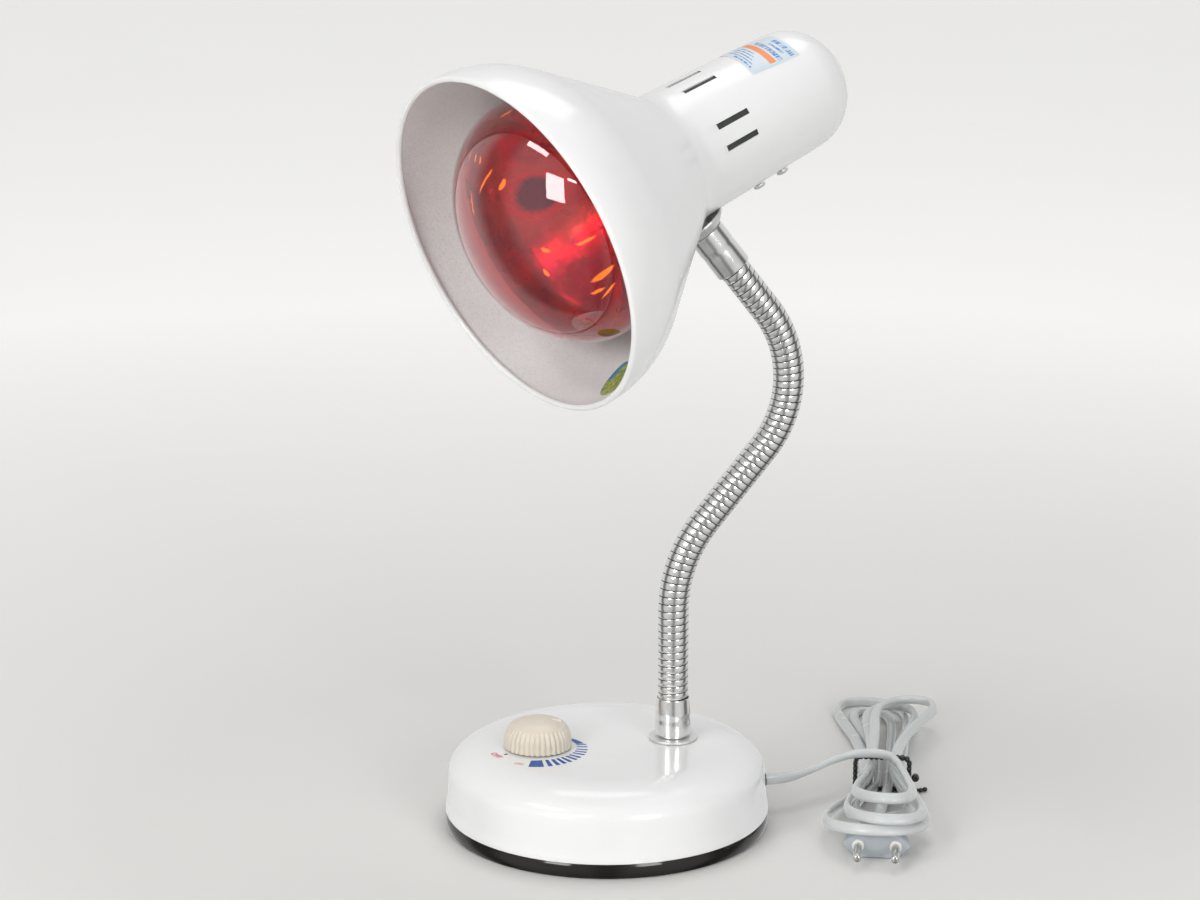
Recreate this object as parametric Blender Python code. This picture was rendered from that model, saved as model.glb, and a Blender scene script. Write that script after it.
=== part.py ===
"""An infrared heat therapy lamp: a weighted base with a dimmer knob, a bendable neck and a steel shade.

Metres, +Z up. The origin is the middle of the base's underside, with +X running from the knob to the neck.
"""

import math

import bmesh
import bpy
import numpy as np
from mathutils import Matrix, Vector

# Shared clearances and mesh fineness
GAP = 0.0003
OVERRUN = 0.002
WELD = 0.000001
SHARP_ANGLE = math.radians(35.0)
SIDES_LARGE = 42
SIDES_SHADE = 36
SIDES_BULB = 32
SIDES_MEDIUM = 20
SIDES_SMALL = 16
SIDES_TINY = 12

# Base: rubber pad, pan and moulded shell
BASE_RADIUS = 0.082
PAD_INSET = 0.006
PAD_THICKNESS = 0.002
PAN_LIFT = 0.0005
PAN_FLOOR = 0.0025
PAN_SKIRT_TOP = 0.0075
PAN_LIP_HEIGHT = 0.0018
PAN_LIP_WALL = 0.002
SHELL_WALL = 0.0022
SHELL_FOOT_HEIGHT = 0.0017
SHELL_WAIST_HEIGHT = 0.014
SHELL_WAIST_INSET = 0.001
SHELL_SHOULDER_HEIGHT = 0.028
SHELL_SHOULDER_INSET = 0.0018
SHELL_TOP_HEIGHT = 0.0418
SHELL_SHOULDER_SPAN = 0.0262
SHOULDER_STEPS = 4

# Iron weight and the screws that close the base
BALLAST_INSET = 0.022
BALLAST_HEIGHT = 0.008
BOSS_INSET = 0.032
BOSS_ANGLES = (90.0, 210.0, 330.0)
BOSS_RADIUS = 0.006
BOSS_PEG_RADIUS = 0.0042
SCREW_RADIUS = 0.0013
SCREW_HEAD_RADIUS = 0.003
SCREW_HEAD_HEIGHT = 0.0012
PAN_SCREW_LENGTH = 0.014
PILOT_DEPTH_SPARE = 0.002

# Dimmer: potentiometer, its nut and shaft, and the knob
KNOB_INSET = 0.0465
KNOB_LIFT = 0.0009
KNOB_RADIUS = 0.0172
KNOB_HEIGHT = 0.0144
KNOB_FLUTES = 36
KNOB_FLUTE_DEPTH = 0.00045
KNOB_REST_TURN = math.radians(-10.0)
# Radius share and height share of each ring of the knob, and the share of the flutes' depth there
KNOB_RING_SHARES = (
    (1.0, 0.0, 1.0),
    (0.977, 0.39, 1.0),
    (0.924, 0.555, 0.9),
    (0.872, 0.68, 0.7),
    (0.75, 0.805, 0.0),
    (0.52, 0.925, 0.0),
    (0.26, 0.985, 0.0),
)
KNOB_WALL = 0.0025
KNOB_CAVITY_HEIGHT = 0.0075
KNOB_HUB_RADIUS = 0.0052
KNOB_BORE_DEPTH = 0.0078
POINTER_LENGTH = 0.005
POINTER_WIDTH = 0.0013
POINTER_HEIGHT = 0.0016
POINTER_DISTANCE = 0.0095
POINTER_RISE = 0.0004
POT_RADIUS = 0.0085
POT_HEIGHT = 0.0103
BUSHING_RADIUS = 0.004
SHAFT_RADIUS = 0.003
SHAFT_SEAT = 0.002
POT_NUT_WIDTH = 0.010
POT_NUT_HEIGHT = 0.002
BUSHING_SPARE = 0.0005

# Dimmer board, hung from two bosses under the shell's top
BOARD_LENGTH = 0.046
BOARD_WIDTH = 0.038
BOARD_THICKNESS = 0.0016
BOARD_HEIGHT = 0.0185
BOARD_PEG_X = 0.019
BOARD_PEG_Y = 0.015
BOARD_BOSS_RADIUS = 0.0035
BOARD_PEG_RADIUS = 0.0015
BOARD_STAKE_RADIUS = 0.0028
BOARD_STAKE_HEIGHT = 0.0012
CHOKE_RADIUS = 0.006
CHOKE_WIRE_RADIUS = 0.003
CHOKE_X = -0.0075
CHOKE_Y = 0.0075
CAPACITOR_SIZE = (0.014, 0.0075, 0.011)
CAPACITOR_X = -0.009
CAPACITOR_Y = -0.011
TRIAC_SIZE = (0.0045, 0.010)
TRIAC_HEADROOM = 0.0052
TRIAC_X = 0.0065
TRIAC_Y = 0.004
SINK_SIZE = (0.011, 0.018)
SINK_HEADROOM = 0.0032
SINK_WALL = 0.0015

# Terminal block and cord clamp
BLOCK_SIZE = (0.014, 0.026, 0.010)
BLOCK_REACH = 0.0168
CLAMP_SIZE = (0.007, 0.022, 0.017)
CLAMP_INSET = 0.014

# Mains cord where it leaves the base, and its thin rubber grommet
CORD_RADIUS = 0.0025
CORD_EXIT_HEIGHT = 0.016
GROMMET_RADIUS = 0.0042
GROMMET_BODY_RADIUS = 0.0036
GROMMET_INNER_RADIUS = 0.0052
GROMMET_FLANGE = 0.001
GROMMET_SLACK = 0.0009
CORD_SIDES_RESOLUTION = 2

# Neck foot: washer, ferrule, threaded nipple and nut
NECK_INSET = 0.0478
FOOT_WASHER_RADIUS = 0.0124
FOOT_WASHER_THICKNESS = 0.0012
FERRULE_RADIUS = 0.0091
FERRULE_TOP_RADIUS = 0.0084
FERRULE_RECESS_RADIUS = 0.0079
FERRULE_RECESS_HEIGHT = 0.0012
FERRULE_LENGTH = 0.0204
FERRULE_SOCKET_RADIUS = 0.0073
FERRULE_SOCKET_DEPTH = 0.014
FERRULE_CRIMP_DEPTH = 0.0007
FERRULE_CRIMP_HALF_WIDTH = 0.0018
FERRULE_CRIMP_SHARE = 0.48
NIPPLE_RADIUS = 0.005
NIPPLE_BORE_RADIUS = 0.0036
NIPPLE_REACH = 0.0096
NIPPLE_ENGAGEMENT = 0.0055
NECK_NUT_WIDTH = 0.017
NECK_NUT_HEIGHT = 0.004

# Gooseneck: its centreline bends in the plane of the knob and the neck
RIB_PITCH = 0.0036
RIB_RADIUS = 0.00775
RIB_ROOT_RADIUS = 0.00695
NECK_BORE_RADIUS = 0.0042
NECK_SPIGOT_RADIUS = 0.007
NECK_SPIGOT_LENGTH = 0.012
NECK_SECTION_RIBS = 7
NECK_FLEX_RIBS = 3
NECK_BENDS = 6
NECK_SIDES = 10
NECK_LOWER_STRAIGHT = 0.046
NECK_LOWER_BEND_RADIUS = 0.073
NECK_LOWER_BEND = math.radians(39.0)
NECK_MIDDLE_STRAIGHT = 0.046
NECK_UPPER_BEND_RADIUS = 0.057
NECK_UPPER_BEND = math.radians(-77.0)

# Head: where the neck's end meets the shade's axis, and which way the shade looks
HEAD_REACH = 0.065
HEAD_DEPTH = 0.0915
HEAD_TILT = math.radians(15.5)
HEAD_SWIVEL = math.radians(26.4)
UPPER_FERRULE_LENGTH = 0.0235
UPPER_FERRULE_RADIUS = 0.0092
DISH_RADIUS = 0.0138
DISH_WALL = 0.001
DISH_DEPTH = 0.0055
HEAD_NIPPLE_START = 0.0150
HEAD_NIPPLE_END = 0.0350
SADDLE_RADIUS = 0.009
SADDLE_END = 0.0345

# Shade: rolled rim, dish, cone, fillet and the round housing behind it
SHADE_RADIUS = 0.0869
SHADE_WALL = 0.0008
SHADE_BEAD_RADIUS = 0.0015
SHADE_LIP = 0.004
SHADE_DISH_RADIUS = 0.058
SHADE_SLOPE = math.radians(35.5)
SHADE_FILLET = 0.024
HOUSING_RADIUS = 0.0335
HOUSING_END_RADIUS = 0.031
HOUSING_LENGTH = 0.079
HOUSING_STRAIGHT_END = 0.1832
HOUSING_ROUNDING = 0.025
VENT_LENGTH = 0.0225
VENT_WIDTH = 0.003
VENT_START = 0.111
VENT_PAIR_ANGLES = (-96.75, -32.25, 32.25, 96.75)
VENT_HALF_SPACING = 10.0
HEAD_FITTING_TURN = -8.0

# Bulb: reflector glass, screw cap, stem and filament
BULB_RADIUS = 0.0623
BULB_FRONT_DEPTH = 0.0445
BULB_FRONT = -0.0125
BULB_GLASS = 0.001
BULB_SHOULDER_RADIUS = 0.018
BULB_SLOPE = math.radians(38.5)
BULB_NECK_RADIUS = 0.020
BULB_NECK_END = 0.132
BULB_COLLAR_START = 0.142
BULB_COLLAR_END = 0.147
CAP_RADIUS = 0.0131
CAP_WALL = 0.0005
CAP_START = 0.1425
CAP_END = 0.164
CAP_INSULATOR_LENGTH = 0.0028
CAP_INSULATOR_RADIUS = 0.009
CAP_CONTACT_RADIUS = 0.0048
CAP_CONTACT_LENGTH = 0.0012
STEM_RADIUS = 0.006
STEM_START = 0.082
FILAMENT_WIRE_RADIUS = 0.0005
FILAMENT_HALF_SPAN = 0.014
FILAMENT_DEPTH = 0.058

# Ceramic socket and the bracket that carries it
SOCKET_RADIUS = 0.021
SOCKET_BORE_RADIUS = 0.0147
SOCKET_START = 0.144
SOCKET_STEP = 0.172
SOCKET_END = 0.182
SOCKET_REAR_RADIUS = 0.015
SHELL_CONTACT_RADIUS = 0.0143
SHELL_CONTACT_WALL = 0.0005
SHELL_CONTACT_LENGTH = 0.020
BRACKET_THICKNESS = 0.0012
BRACKET_WIDTH = 0.014
BRACKET_START = 0.132
BRACKET_REACH = 0.012
BRACKET_HOLE_RADIUS = 0.004
BRACKET_SCREW_DEPTHS = (0.140, 0.156)
BRACKET_SCREW_RADIUS = 0.0016
BRACKET_SCREW_HEAD_RADIUS = 0.0032
BRACKET_SCREW_HEAD_HEIGHT = 0.0018
BRACKET_SCREW_SPARE = 0.0010

# Inner leads
LEAD_RADIUS = 0.0015
LEAD_HEIGHT = 0.018
LEAD_RISE = 0.012
LEAD_CORNER = 0.006
LEAD_RING_RADIUS = 0.0235
LEAD_END_DEPTH = 0.1785
LEAD_STEPS = 3

# Plug, lying under the front of the hank with its pins to the front
PLUG_WIDTH = 0.0353
PLUG_THICKNESS = 0.0137
PLUG_LENGTH = 0.034
PLUG_FACE = (0.1205, -0.0780)
PLUG_TURN = math.radians(-17.0)
PLUG_CORNER = 0.0075
PLUG_REAR_WIDTH_SHARE = 0.42
PLUG_REAR_THICKNESS_SHARE = 0.72
PIN_RADIUS = 0.002
PIN_LENGTH = 0.019
PIN_SPACING = 0.0185
COLLAR_RADIUS = 0.0031
COLLAR_LENGTH = 0.0015
PIN_SEAT = 0.004

# Hank of the put-away cord, gathered at its waist by a tie
HANK_WAIST = (0.149, 0.013)
HANK_TURN = math.radians(72.0)
HANK_LENGTH = 0.108
HANK_WIDTH = 0.050
HANK_STEP = 0.0055
HANK_COLUMN = 0.003
HANK_FRONT_SWELL = 1.3
HANK_REAR_SWELL = 3.0
HANK_POINTS = 12
TIE_THICKNESS = 0.001
TIE_WIDTH = 0.003
TIE_SLACK = 0.0006
TIE_TAIL = 0.020
TIE_HEAD = 0.004
# Each lobe in turn, upper end of the cord first: its share of the length (less than zero runs to the front),
# its share of the width, its fan in degrees and the layers that its tip lies above the table
HANK_LOBE_SHARES = (
    (-0.80, 0.42, 4.0, 4.7),
    (0.98, 0.70, 7.0, 2.3),
    (-0.93, 0.62, 4.0, 3.7),
    (1.04, 0.60, 1.0, 1.15),
    (-0.93, 0.86, 0.0, 2.6),
    (1.26, 0.84, -6.0, 0.0),
    (-0.42, 0.40, 0.0, 0.0),
    (1.12, 0.52, -6.0, 0.0),
)
# Where the cord passes the waist in turn: columns out from the middle one, and layers up from the tie
HANK_SLOT_SHARES = (
    (0.6, 3.2),
    (0.6, 2.0),
    (0.6, 2.0),
    (0.6, 1.0),
    (0.6, 1.0),
    (1.2, 0.0),
    (1.2, 0.0),
    (0.0, 0.0),
    (0.0, 0.0),
)
# The free stretch over the tie, and the short one that runs over the smallest lobe to the plug
CORD_ROUTE = (
    (0.0885, 0.0002, 0.0159),
    (0.098, 0.0025, 0.0158),
    (0.110, 0.0075, 0.0170),
    (0.122, 0.0125, 0.0192),
    (0.134, 0.0145, 0.0211),
    (0.1445, 0.0115, 0.0218),
    (0.1510, 0.0050, 0.0218),
)
PLUG_LEAD_ROUTE = (
    (0.1435, -0.0125, 0.0062),
    (0.1375, -0.0270, 0.0085),
)

# Derived places and heights of the base
PAD_RADIUS = BASE_RADIUS - PAD_INSET
SHELL_FLAT_RADIUS = BASE_RADIUS - SHELL_SHOULDER_INSET - SHELL_SHOULDER_SPAN
BALLAST_RADIUS = BASE_RADIUS - BALLAST_INSET
BOSS_CIRCLE = BASE_RADIUS - BOSS_INSET
KNOB_OFFSET = BASE_RADIUS - KNOB_INSET
NECK_OFFSET = BASE_RADIUS - NECK_INSET
BLOCK_X = NECK_OFFSET + BLOCK_REACH
CLAMP_X = BASE_RADIUS - CLAMP_INSET
PAN_BOTTOM = PAD_THICKNESS + GAP
PAN_TOP = PAN_BOTTOM + PAN_FLOOR
SHELL_FOOT = PAN_SKIRT_TOP + GAP
SHELL_CEILING = SHELL_TOP_HEIGHT - SHELL_WALL
NIPPLE_BOTTOM = SHELL_CEILING - NIPPLE_REACH
BALLAST_BOTTOM = PAN_TOP + GAP
BALLAST_TOP = BALLAST_BOTTOM + BALLAST_HEIGHT
KNOB_BOTTOM = SHELL_TOP_HEIGHT + KNOB_LIFT
FERRULE_BOTTOM = SHELL_TOP_HEIGHT + GAP + FOOT_WASHER_THICKNESS + GAP
FERRULE_TOP = FERRULE_BOTTOM + FERRULE_LENGTH
NECK_RIBS = [NECK_SECTION_RIBS] + [NECK_FLEX_RIBS, NECK_SECTION_RIBS] * NECK_BENDS
NECK_LENGTH = sum(NECK_RIBS) * RIB_PITCH + (len(NECK_RIBS) + 1) * GAP
NECK_LOWER_ARC = NECK_LOWER_BEND_RADIUS * NECK_LOWER_BEND
NECK_UPPER_ARC = NECK_UPPER_BEND_RADIUS * -NECK_UPPER_BEND
NECK_RUNS = (
    (NECK_LOWER_STRAIGHT, 0.0),
    (NECK_LOWER_ARC, NECK_LOWER_BEND),
    (NECK_MIDDLE_STRAIGHT, 0.0),
    (NECK_UPPER_ARC, NECK_UPPER_BEND),
)


def material(name, colour, roughness, metallic=0.0):
    made = bpy.data.materials.new(name)
    made.use_nodes = True
    shader = made.node_tree.nodes["Principled BSDF"]
    shader.inputs["Base Color"].default_value = (*colour, 1.0)
    shader.inputs["Roughness"].default_value = roughness
    shader.inputs["Metallic"].default_value = metallic
    return made


def place(obj, look, frame=None, carrier=None):
    """Links an object in its frame, gives it its material and hangs it on the empty that carries it."""
    bpy.context.scene.collection.objects.link(obj)
    obj.matrix_world = frame or Matrix.Identity(4)
    if look:
        obj.data.materials.append(look)
    if carrier:
        obj.parent = carrier
        obj.matrix_parent_inverse = carrier.matrix_world.inverted()
    return obj


def empty(name, frame, carrier=None):
    """An empty on a joint's axis, with the axis along one of its own."""
    made = bpy.data.objects.new(name, None)
    bpy.context.scene.collection.objects.link(made)
    made.matrix_world = frame
    if carrier:
        made.parent = carrier
        made.matrix_parent_inverse = carrier.matrix_world.inverted()
    bpy.context.view_layer.update()
    return made


def smooth(mesh):
    mesh.shade_smooth()
    mesh.set_sharp_from_angle(angle=SHARP_ANGLE)
    return mesh


def closed(form, name):
    """Welds a form's points, turns its faces outward and makes it a mesh."""
    bmesh.ops.remove_doubles(form, verts=form.verts, dist=WELD)
    bmesh.ops.recalc_face_normals(form, faces=form.faces)
    mesh = bpy.data.meshes.new(name)
    form.to_mesh(mesh)
    form.free()
    return smooth(mesh)


def spun(form, outline, sides):
    """Turns a closed outline of (radius, height) points about the Z axis."""
    points = [form.verts.new((radius, 0.0, height)) for radius, height in outline]
    edges = [
        form.edges.new((first, second))
        for first, second in zip(points, points[1:] + points[:1])
        if first.co.x > WELD or second.co.x > WELD
    ]
    bmesh.ops.spin(
        form,
        geom=points + edges,
        cent=(0.0, 0.0, 0.0),
        axis=(0.0, 0.0, 1.0),
        angle=2.0 * math.pi,
        steps=sides,
        use_merge=True,
    )


def turned(name, outline, sides, look, frame=None, carrier=None):
    form = bmesh.new()
    spun(form, outline, sides)
    return place(bpy.data.objects.new(name, closed(form, name)), look, frame, carrier)


def rod(radius, bottom, top):
    """The outline of a plain cylinder."""
    return [(0.0, bottom), (radius, bottom), (radius, top), (0.0, top)]


def ring(inner, outer, bottom, top):
    """The outline of a plain ring."""
    return [(inner, bottom), (outer, bottom), (outer, top), (inner, top)]


def arc(centre, radii, start, end, steps):
    """Points along a round or elliptical corner of an outline, with angles from the radius direction."""
    turns = [start + (end - start) * step / steps for step in range(steps + 1)]
    return [(centre[0] + radii[0] * math.cos(turn), centre[1] + radii[1] * math.sin(turn)) for turn in turns]


def block(name, size, centre, look, frame=None, carrier=None):
    form = bmesh.new()
    bmesh.ops.create_cube(form, size=1.0)
    bmesh.ops.scale(form, vec=size, verts=form.verts)
    bmesh.ops.translate(form, vec=centre, verts=form.verts)
    mesh = bpy.data.meshes.new(name)
    form.to_mesh(mesh)
    form.free()
    return place(bpy.data.objects.new(name, mesh), look, frame, carrier)


def nut(name, width, bore, bottom, height, look, frame=None, carrier=None):
    """A hexagon nut on the Z axis, width across its flats, with a round bore."""
    form = bmesh.new()
    spun(form, rod(width / math.sqrt(3.0), bottom, bottom + height), 6)
    made = place(bpy.data.objects.new(name, closed(form, name)), look, frame, carrier)
    reach = rod(bore, bottom - OVERRUN, bottom + height + OVERRUN)
    return shaped(made, turned(name + "_bore", reach, SIDES_SMALL, None, frame), "DIFFERENCE")


def cluster(name, pieces, frame=None):
    """One helper object of several pieces, each an outline, its number of sides and its own frame."""
    form = bmesh.new()
    for outline, sides, spot in pieces:
        before = set(form.verts)
        spun(form, outline, sides)
        fresh = [point for point in form.verts if point not in before]
        bmesh.ops.transform(form, matrix=spot, verts=fresh)
    return place(bpy.data.objects.new(name, closed(form, name)), None, frame)


def shaped(obj, tool, operation):
    """Joins a helper to an object, or cuts it away, or keeps what lies inside it."""
    modifier = obj.modifiers.new(tool.name, "BOOLEAN")
    modifier.operation = operation
    modifier.solver = "EXACT"
    modifier.object = tool
    tool.hide_render = True
    tool.display_type = "WIRE"
    return obj


def smooth_route(points, spacing):
    """Points every spacing or so along a smooth curve through the route's own points."""
    places = [Vector(point) for point in points]
    ends = [2.0 * places[0] - places[1]] + places + [2.0 * places[-1] - places[-2]]
    route = [places[0]]
    for before, start, end, after in zip(ends, ends[1:], ends[2:], ends[3:]):
        steps = max(1, round((end - start).length / spacing))
        for step in range(1, steps + 1):
            share = step / steps
            bend_in = (end - before) / 2.0
            bend_out = (after - start) / 2.0
            turn = 2.0 * share**3 - 3.0 * share**2 + 1.0
            lean = share**3 - 2.0 * share**2 + share
            rise = share**3 - share**2
            route.append(turn * start + lean * bend_in + (1.0 - turn) * end + rise * bend_out)
    return route


def rounded(points, reach):
    """A route through straight runs whose corners are rounded within a reach."""
    route = [points[0]]
    for before, corner, after in zip(points, points[1:], points[2:]):
        start = corner + reach * (before - corner).normalized()
        end = corner + reach * (after - corner).normalized()
        for step in range(LEAD_STEPS + 1):
            share = step / LEAD_STEPS
            first = start.lerp(corner, share)
            route.append(first.lerp(corner.lerp(end, share), share))
    return route + [points[-1]]


def tube(name, route, radius, resolution, look, carrier=None):
    """A round tube with filled ends along a route."""
    curve = bpy.data.curves.new(name, "CURVE")
    curve.dimensions = "3D"
    curve.bevel_depth = radius
    curve.bevel_resolution = resolution
    curve.use_fill_caps = True
    line = curve.splines.new("POLY")
    line.points.add(len(route) - 1)
    for spot, point in zip(line.points, route):
        spot.co = (*point, 1.0)
    return place(bpy.data.objects.new(name, curve), look, None, carrier)


def neck_frame(along):
    """The neck's frame at a distance along its centreline, +Z along it and +Y across its bends."""
    spot = Vector((NECK_OFFSET, 0.0, FERRULE_TOP))
    lean = 0.0
    left = along
    for length, bend in NECK_RUNS:
        if left <= 0.0:
            break
        part = min(left, length)
        turn = bend * part / length
        chord = part if not bend else 2.0 * length / bend * math.sin(turn / 2.0)
        middle = lean + turn / 2.0
        spot = spot + chord * Vector((math.sin(middle), 0.0, math.cos(middle)))
        lean = lean + turn
        left = left - part
    if left > 0.0 or along < 0.0:
        rest = left if left > 0.0 else along
        spot = spot + rest * Vector((math.sin(lean), 0.0, math.cos(lean)))
    return Matrix.Translation(spot) @ Matrix.Rotation(lean, 4, "Y")


NECK_END = neck_frame(NECK_LENGTH)


def head_frame():
    """The shade's frame: origin in the middle of its rim, +Z back along its axis, +X away from the neck."""
    along = NECK_END.col[2].xyz
    inward = NECK_END.col[0].xyz * -1.0
    across = NECK_END.col[1].xyz * -1.0
    level = math.cos(HEAD_SWIVEL) * inward + math.sin(HEAD_SWIVEL) * across
    look = math.sin(HEAD_TILT) * along + math.cos(HEAD_TILT) * level
    back = look * -1.0
    crown = (along - along.dot(look) * look).normalized()
    side = back.cross(crown)
    centre = NECK_END.translation + HEAD_REACH * along + HEAD_DEPTH * look
    turn = Matrix((crown, side, back)).transposed().to_4x4()
    return Matrix.Translation(centre) @ turn


HEAD = head_frame()
KNOB_FRAME = Matrix.Translation((-KNOB_OFFSET, 0.0, 0.0))
FOOT_FRAME = Matrix.Translation((NECK_OFFSET, 0.0, 0.0))


def radial(turn, depth, frame=None):
    """A frame on the shade's axis at a depth, whose +Z points outward at an angle in degrees."""
    around = Matrix.Rotation(math.radians(turn), 4, "Z") @ Matrix.Rotation(math.radians(90.0), 4, "Y")
    return (frame or Matrix.Identity(4)) @ Matrix.Translation((0.0, 0.0, depth)) @ around


def shell_outline():
    """The shell's wall: foot, waist, rounded shoulder and flat top, outside and in."""
    span = SHELL_SHOULDER_SPAN
    rise = SHELL_TOP_HEIGHT - SHELL_SHOULDER_HEIGHT
    centre = (SHELL_FLAT_RADIUS, SHELL_SHOULDER_HEIGHT)
    quarter = math.pi / 2.0
    waist = BASE_RADIUS - SHELL_WAIST_INSET
    inner_radii = (span - SHELL_WALL, rise - SHELL_WALL)
    return [
        (BASE_RADIUS - SHELL_WALL, SHELL_FOOT),
        (BASE_RADIUS, SHELL_FOOT),
        (BASE_RADIUS, SHELL_FOOT + SHELL_FOOT_HEIGHT),
        (waist, SHELL_WAIST_HEIGHT),
        *arc(centre, (span, rise), 0.0, quarter, SHOULDER_STEPS),
        (0.0, SHELL_TOP_HEIGHT),
        (0.0, SHELL_CEILING),
        *arc(centre, inner_radii, quarter, 0.0, SHOULDER_STEPS),
        (waist - SHELL_WALL, SHELL_WAIST_HEIGHT),
        (BASE_RADIUS - SHELL_WALL, SHELL_FOOT + SHELL_FOOT_HEIGHT),
    ]


def boss_spots():
    """The three bosses' places."""
    turns = [math.radians(angle) for angle in BOSS_ANGLES]
    return [Matrix.Translation((BOSS_CIRCLE * math.cos(t), BOSS_CIRCLE * math.sin(t), 0.0)) for t in turns]


def board_spots():
    """The board's two pegs stand on one of its diagonals."""
    return [Matrix.Translation((sign * -BOARD_PEG_X, sign * BOARD_PEG_Y, 0.0)) for sign in (1.0, -1.0)]


def side_frame(height):
    """A frame on the Z axis at a height, whose +Z points along +X."""
    return Matrix.Translation((0.0, 0.0, height)) @ Matrix.Rotation(math.radians(90.0), 4, "Y")


def base_wall_at(height):
    """The shell's outer radius at a height between its waist and its shoulder."""
    share = (height - SHELL_WAIST_HEIGHT) / (SHELL_SHOULDER_HEIGHT - SHELL_WAIST_HEIGHT)
    return BASE_RADIUS - SHELL_WAIST_INSET - share * (SHELL_SHOULDER_INSET - SHELL_WAIST_INSET)


def post(foot, foot_radius, waist, waist_radius, top, radius):
    """The outline of a post in steps: a foot below, a waist, and the post itself up to its top."""
    return [
        (0.0, foot[0]),
        (foot_radius, foot[0]),
        (foot_radius, foot[1]),
        (waist_radius, foot[1]),
        (waist_radius, waist),
        (radius, waist),
        (radius, top),
        (0.0, top),
    ]


def make_shell(look):
    """The moulded shell with its bosses, pilot holes and the holes for knob, neck and cord."""
    shell = turned("base_shell", shell_outline(), SIDES_LARGE, look)
    rooted = SHELL_CEILING + SHELL_WALL / 2.0
    peg = [(BOSS_PEG_RADIUS, BALLAST_BOTTOM), (BOSS_PEG_RADIUS, BALLAST_TOP + GAP)]
    column = [(BOSS_RADIUS, BALLAST_TOP + GAP), (BOSS_RADIUS, rooted)]
    boss = [(0.0, BALLAST_BOTTOM), *peg, *column, (0.0, rooted)]
    stake = (BOARD_HEIGHT - GAP - BOARD_STAKE_HEIGHT, BOARD_HEIGHT - GAP)
    board_top = BOARD_HEIGHT + BOARD_THICKNESS + GAP
    hanger = post(stake, BOARD_STAKE_RADIUS, board_top, BOARD_PEG_RADIUS, rooted, BOARD_BOSS_RADIUS)
    bosses = [(boss, SIDES_SMALL, spot) for spot in boss_spots()]
    bosses += [(hanger, SIDES_TINY, spot) for spot in board_spots()]
    shaped(shell, cluster("shell_bosses", bosses), "UNION")
    bore = SCREW_RADIUS + GAP
    pan_pilot = rod(bore, BALLAST_BOTTOM - OVERRUN, BALLAST_BOTTOM + PAN_SCREW_LENGTH + PILOT_DEPTH_SPARE)
    through = (SHELL_CEILING - OVERRUN, SHELL_TOP_HEIGHT + OVERRUN)
    cuts = [(pan_pilot, SIDES_TINY, spot) for spot in boss_spots()]
    cuts.append((rod(BUSHING_RADIUS + GAP, *through), SIDES_SMALL, KNOB_FRAME))
    cuts.append((rod(NIPPLE_RADIUS + GAP, *through), SIDES_SMALL, FOOT_FRAME))
    wall = base_wall_at(CORD_EXIT_HEIGHT)
    exit_hole = rod(GROMMET_BODY_RADIUS + GAP, wall - SHELL_WALL - OVERRUN, wall + OVERRUN)
    cuts.append((exit_hole, SIDES_SMALL, side_frame(CORD_EXIT_HEIGHT)))
    shaped(shell, cluster("shell_holes", cuts), "DIFFERENCE")


def make_pan(look, screw_look):
    """The tray under the shell, its lip inside the wall, and the three screws that close the base."""
    lip = BASE_RADIUS - SHELL_WALL - GAP
    outline = [
        (0.0, PAN_BOTTOM),
        (PAD_RADIUS + GAP, PAN_BOTTOM),
        (PAD_RADIUS + GAP, PAN_LIFT),
        (BASE_RADIUS - PAN_LIFT, PAN_LIFT),
        (BASE_RADIUS, PAN_LIFT + PAN_LIFT),
        (BASE_RADIUS, PAN_SKIRT_TOP),
        (lip, PAN_SKIRT_TOP),
        (lip, PAN_SKIRT_TOP + PAN_LIP_HEIGHT),
        (lip - PAN_LIP_WALL, PAN_SKIRT_TOP + PAN_LIP_HEIGHT),
        (lip - PAN_LIP_WALL, PAN_TOP),
        (0.0, PAN_TOP),
    ]
    pan = turned("base_pan", outline, SIDES_LARGE, look)
    sink = PAN_BOTTOM + GAP + SCREW_HEAD_HEIGHT + GAP
    recess = rod(SCREW_HEAD_RADIUS + GAP, PAN_BOTTOM - OVERRUN, sink)
    hole = rod(SCREW_RADIUS + GAP, sink - GAP, PAN_TOP + OVERRUN)
    for name, outline in (("pan_recesses", recess), ("pan_holes", hole)):
        cuts = [(outline, SIDES_TINY, spot) for spot in boss_spots()]
        shaped(pan, cluster(name, cuts), "DIFFERENCE")
    for number, spot in enumerate(boss_spots(), 1):
        head_top = PAN_BOTTOM + GAP + SCREW_HEAD_HEIGHT
        screw = screw_outline(SCREW_RADIUS, SCREW_HEAD_RADIUS, SCREW_HEAD_HEIGHT, head_top, PAN_SCREW_LENGTH)
        turned(f"pan_screw_{number}", screw, SIDES_TINY, screw_look, spot)


def screw_outline(radius, head_radius, head_height, seat, length, way=1.0):
    """A screw that points up with its head under the seat, or the other way about where way is minus one."""
    return [
        (0.0, seat - way * head_height),
        (head_radius, seat - way * head_height),
        (head_radius, seat),
        (radius, seat),
        (radius, seat + way * length),
        (0.0, seat + way * length),
    ]


def make_ballast(look):
    """The iron weight, with a hole for each boss."""
    ballast = turned("ballast_weight", rod(BALLAST_RADIUS, BALLAST_BOTTOM, BALLAST_TOP), SIDES_LARGE, look)
    hole = rod(BOSS_PEG_RADIUS + GAP, BALLAST_BOTTOM - OVERRUN, BALLAST_TOP + OVERRUN)
    holes = [(hole, SIDES_SMALL, spot) for spot in boss_spots()]
    shaped(ballast, cluster("ballast_holes", holes), "DIFFERENCE")


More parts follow.
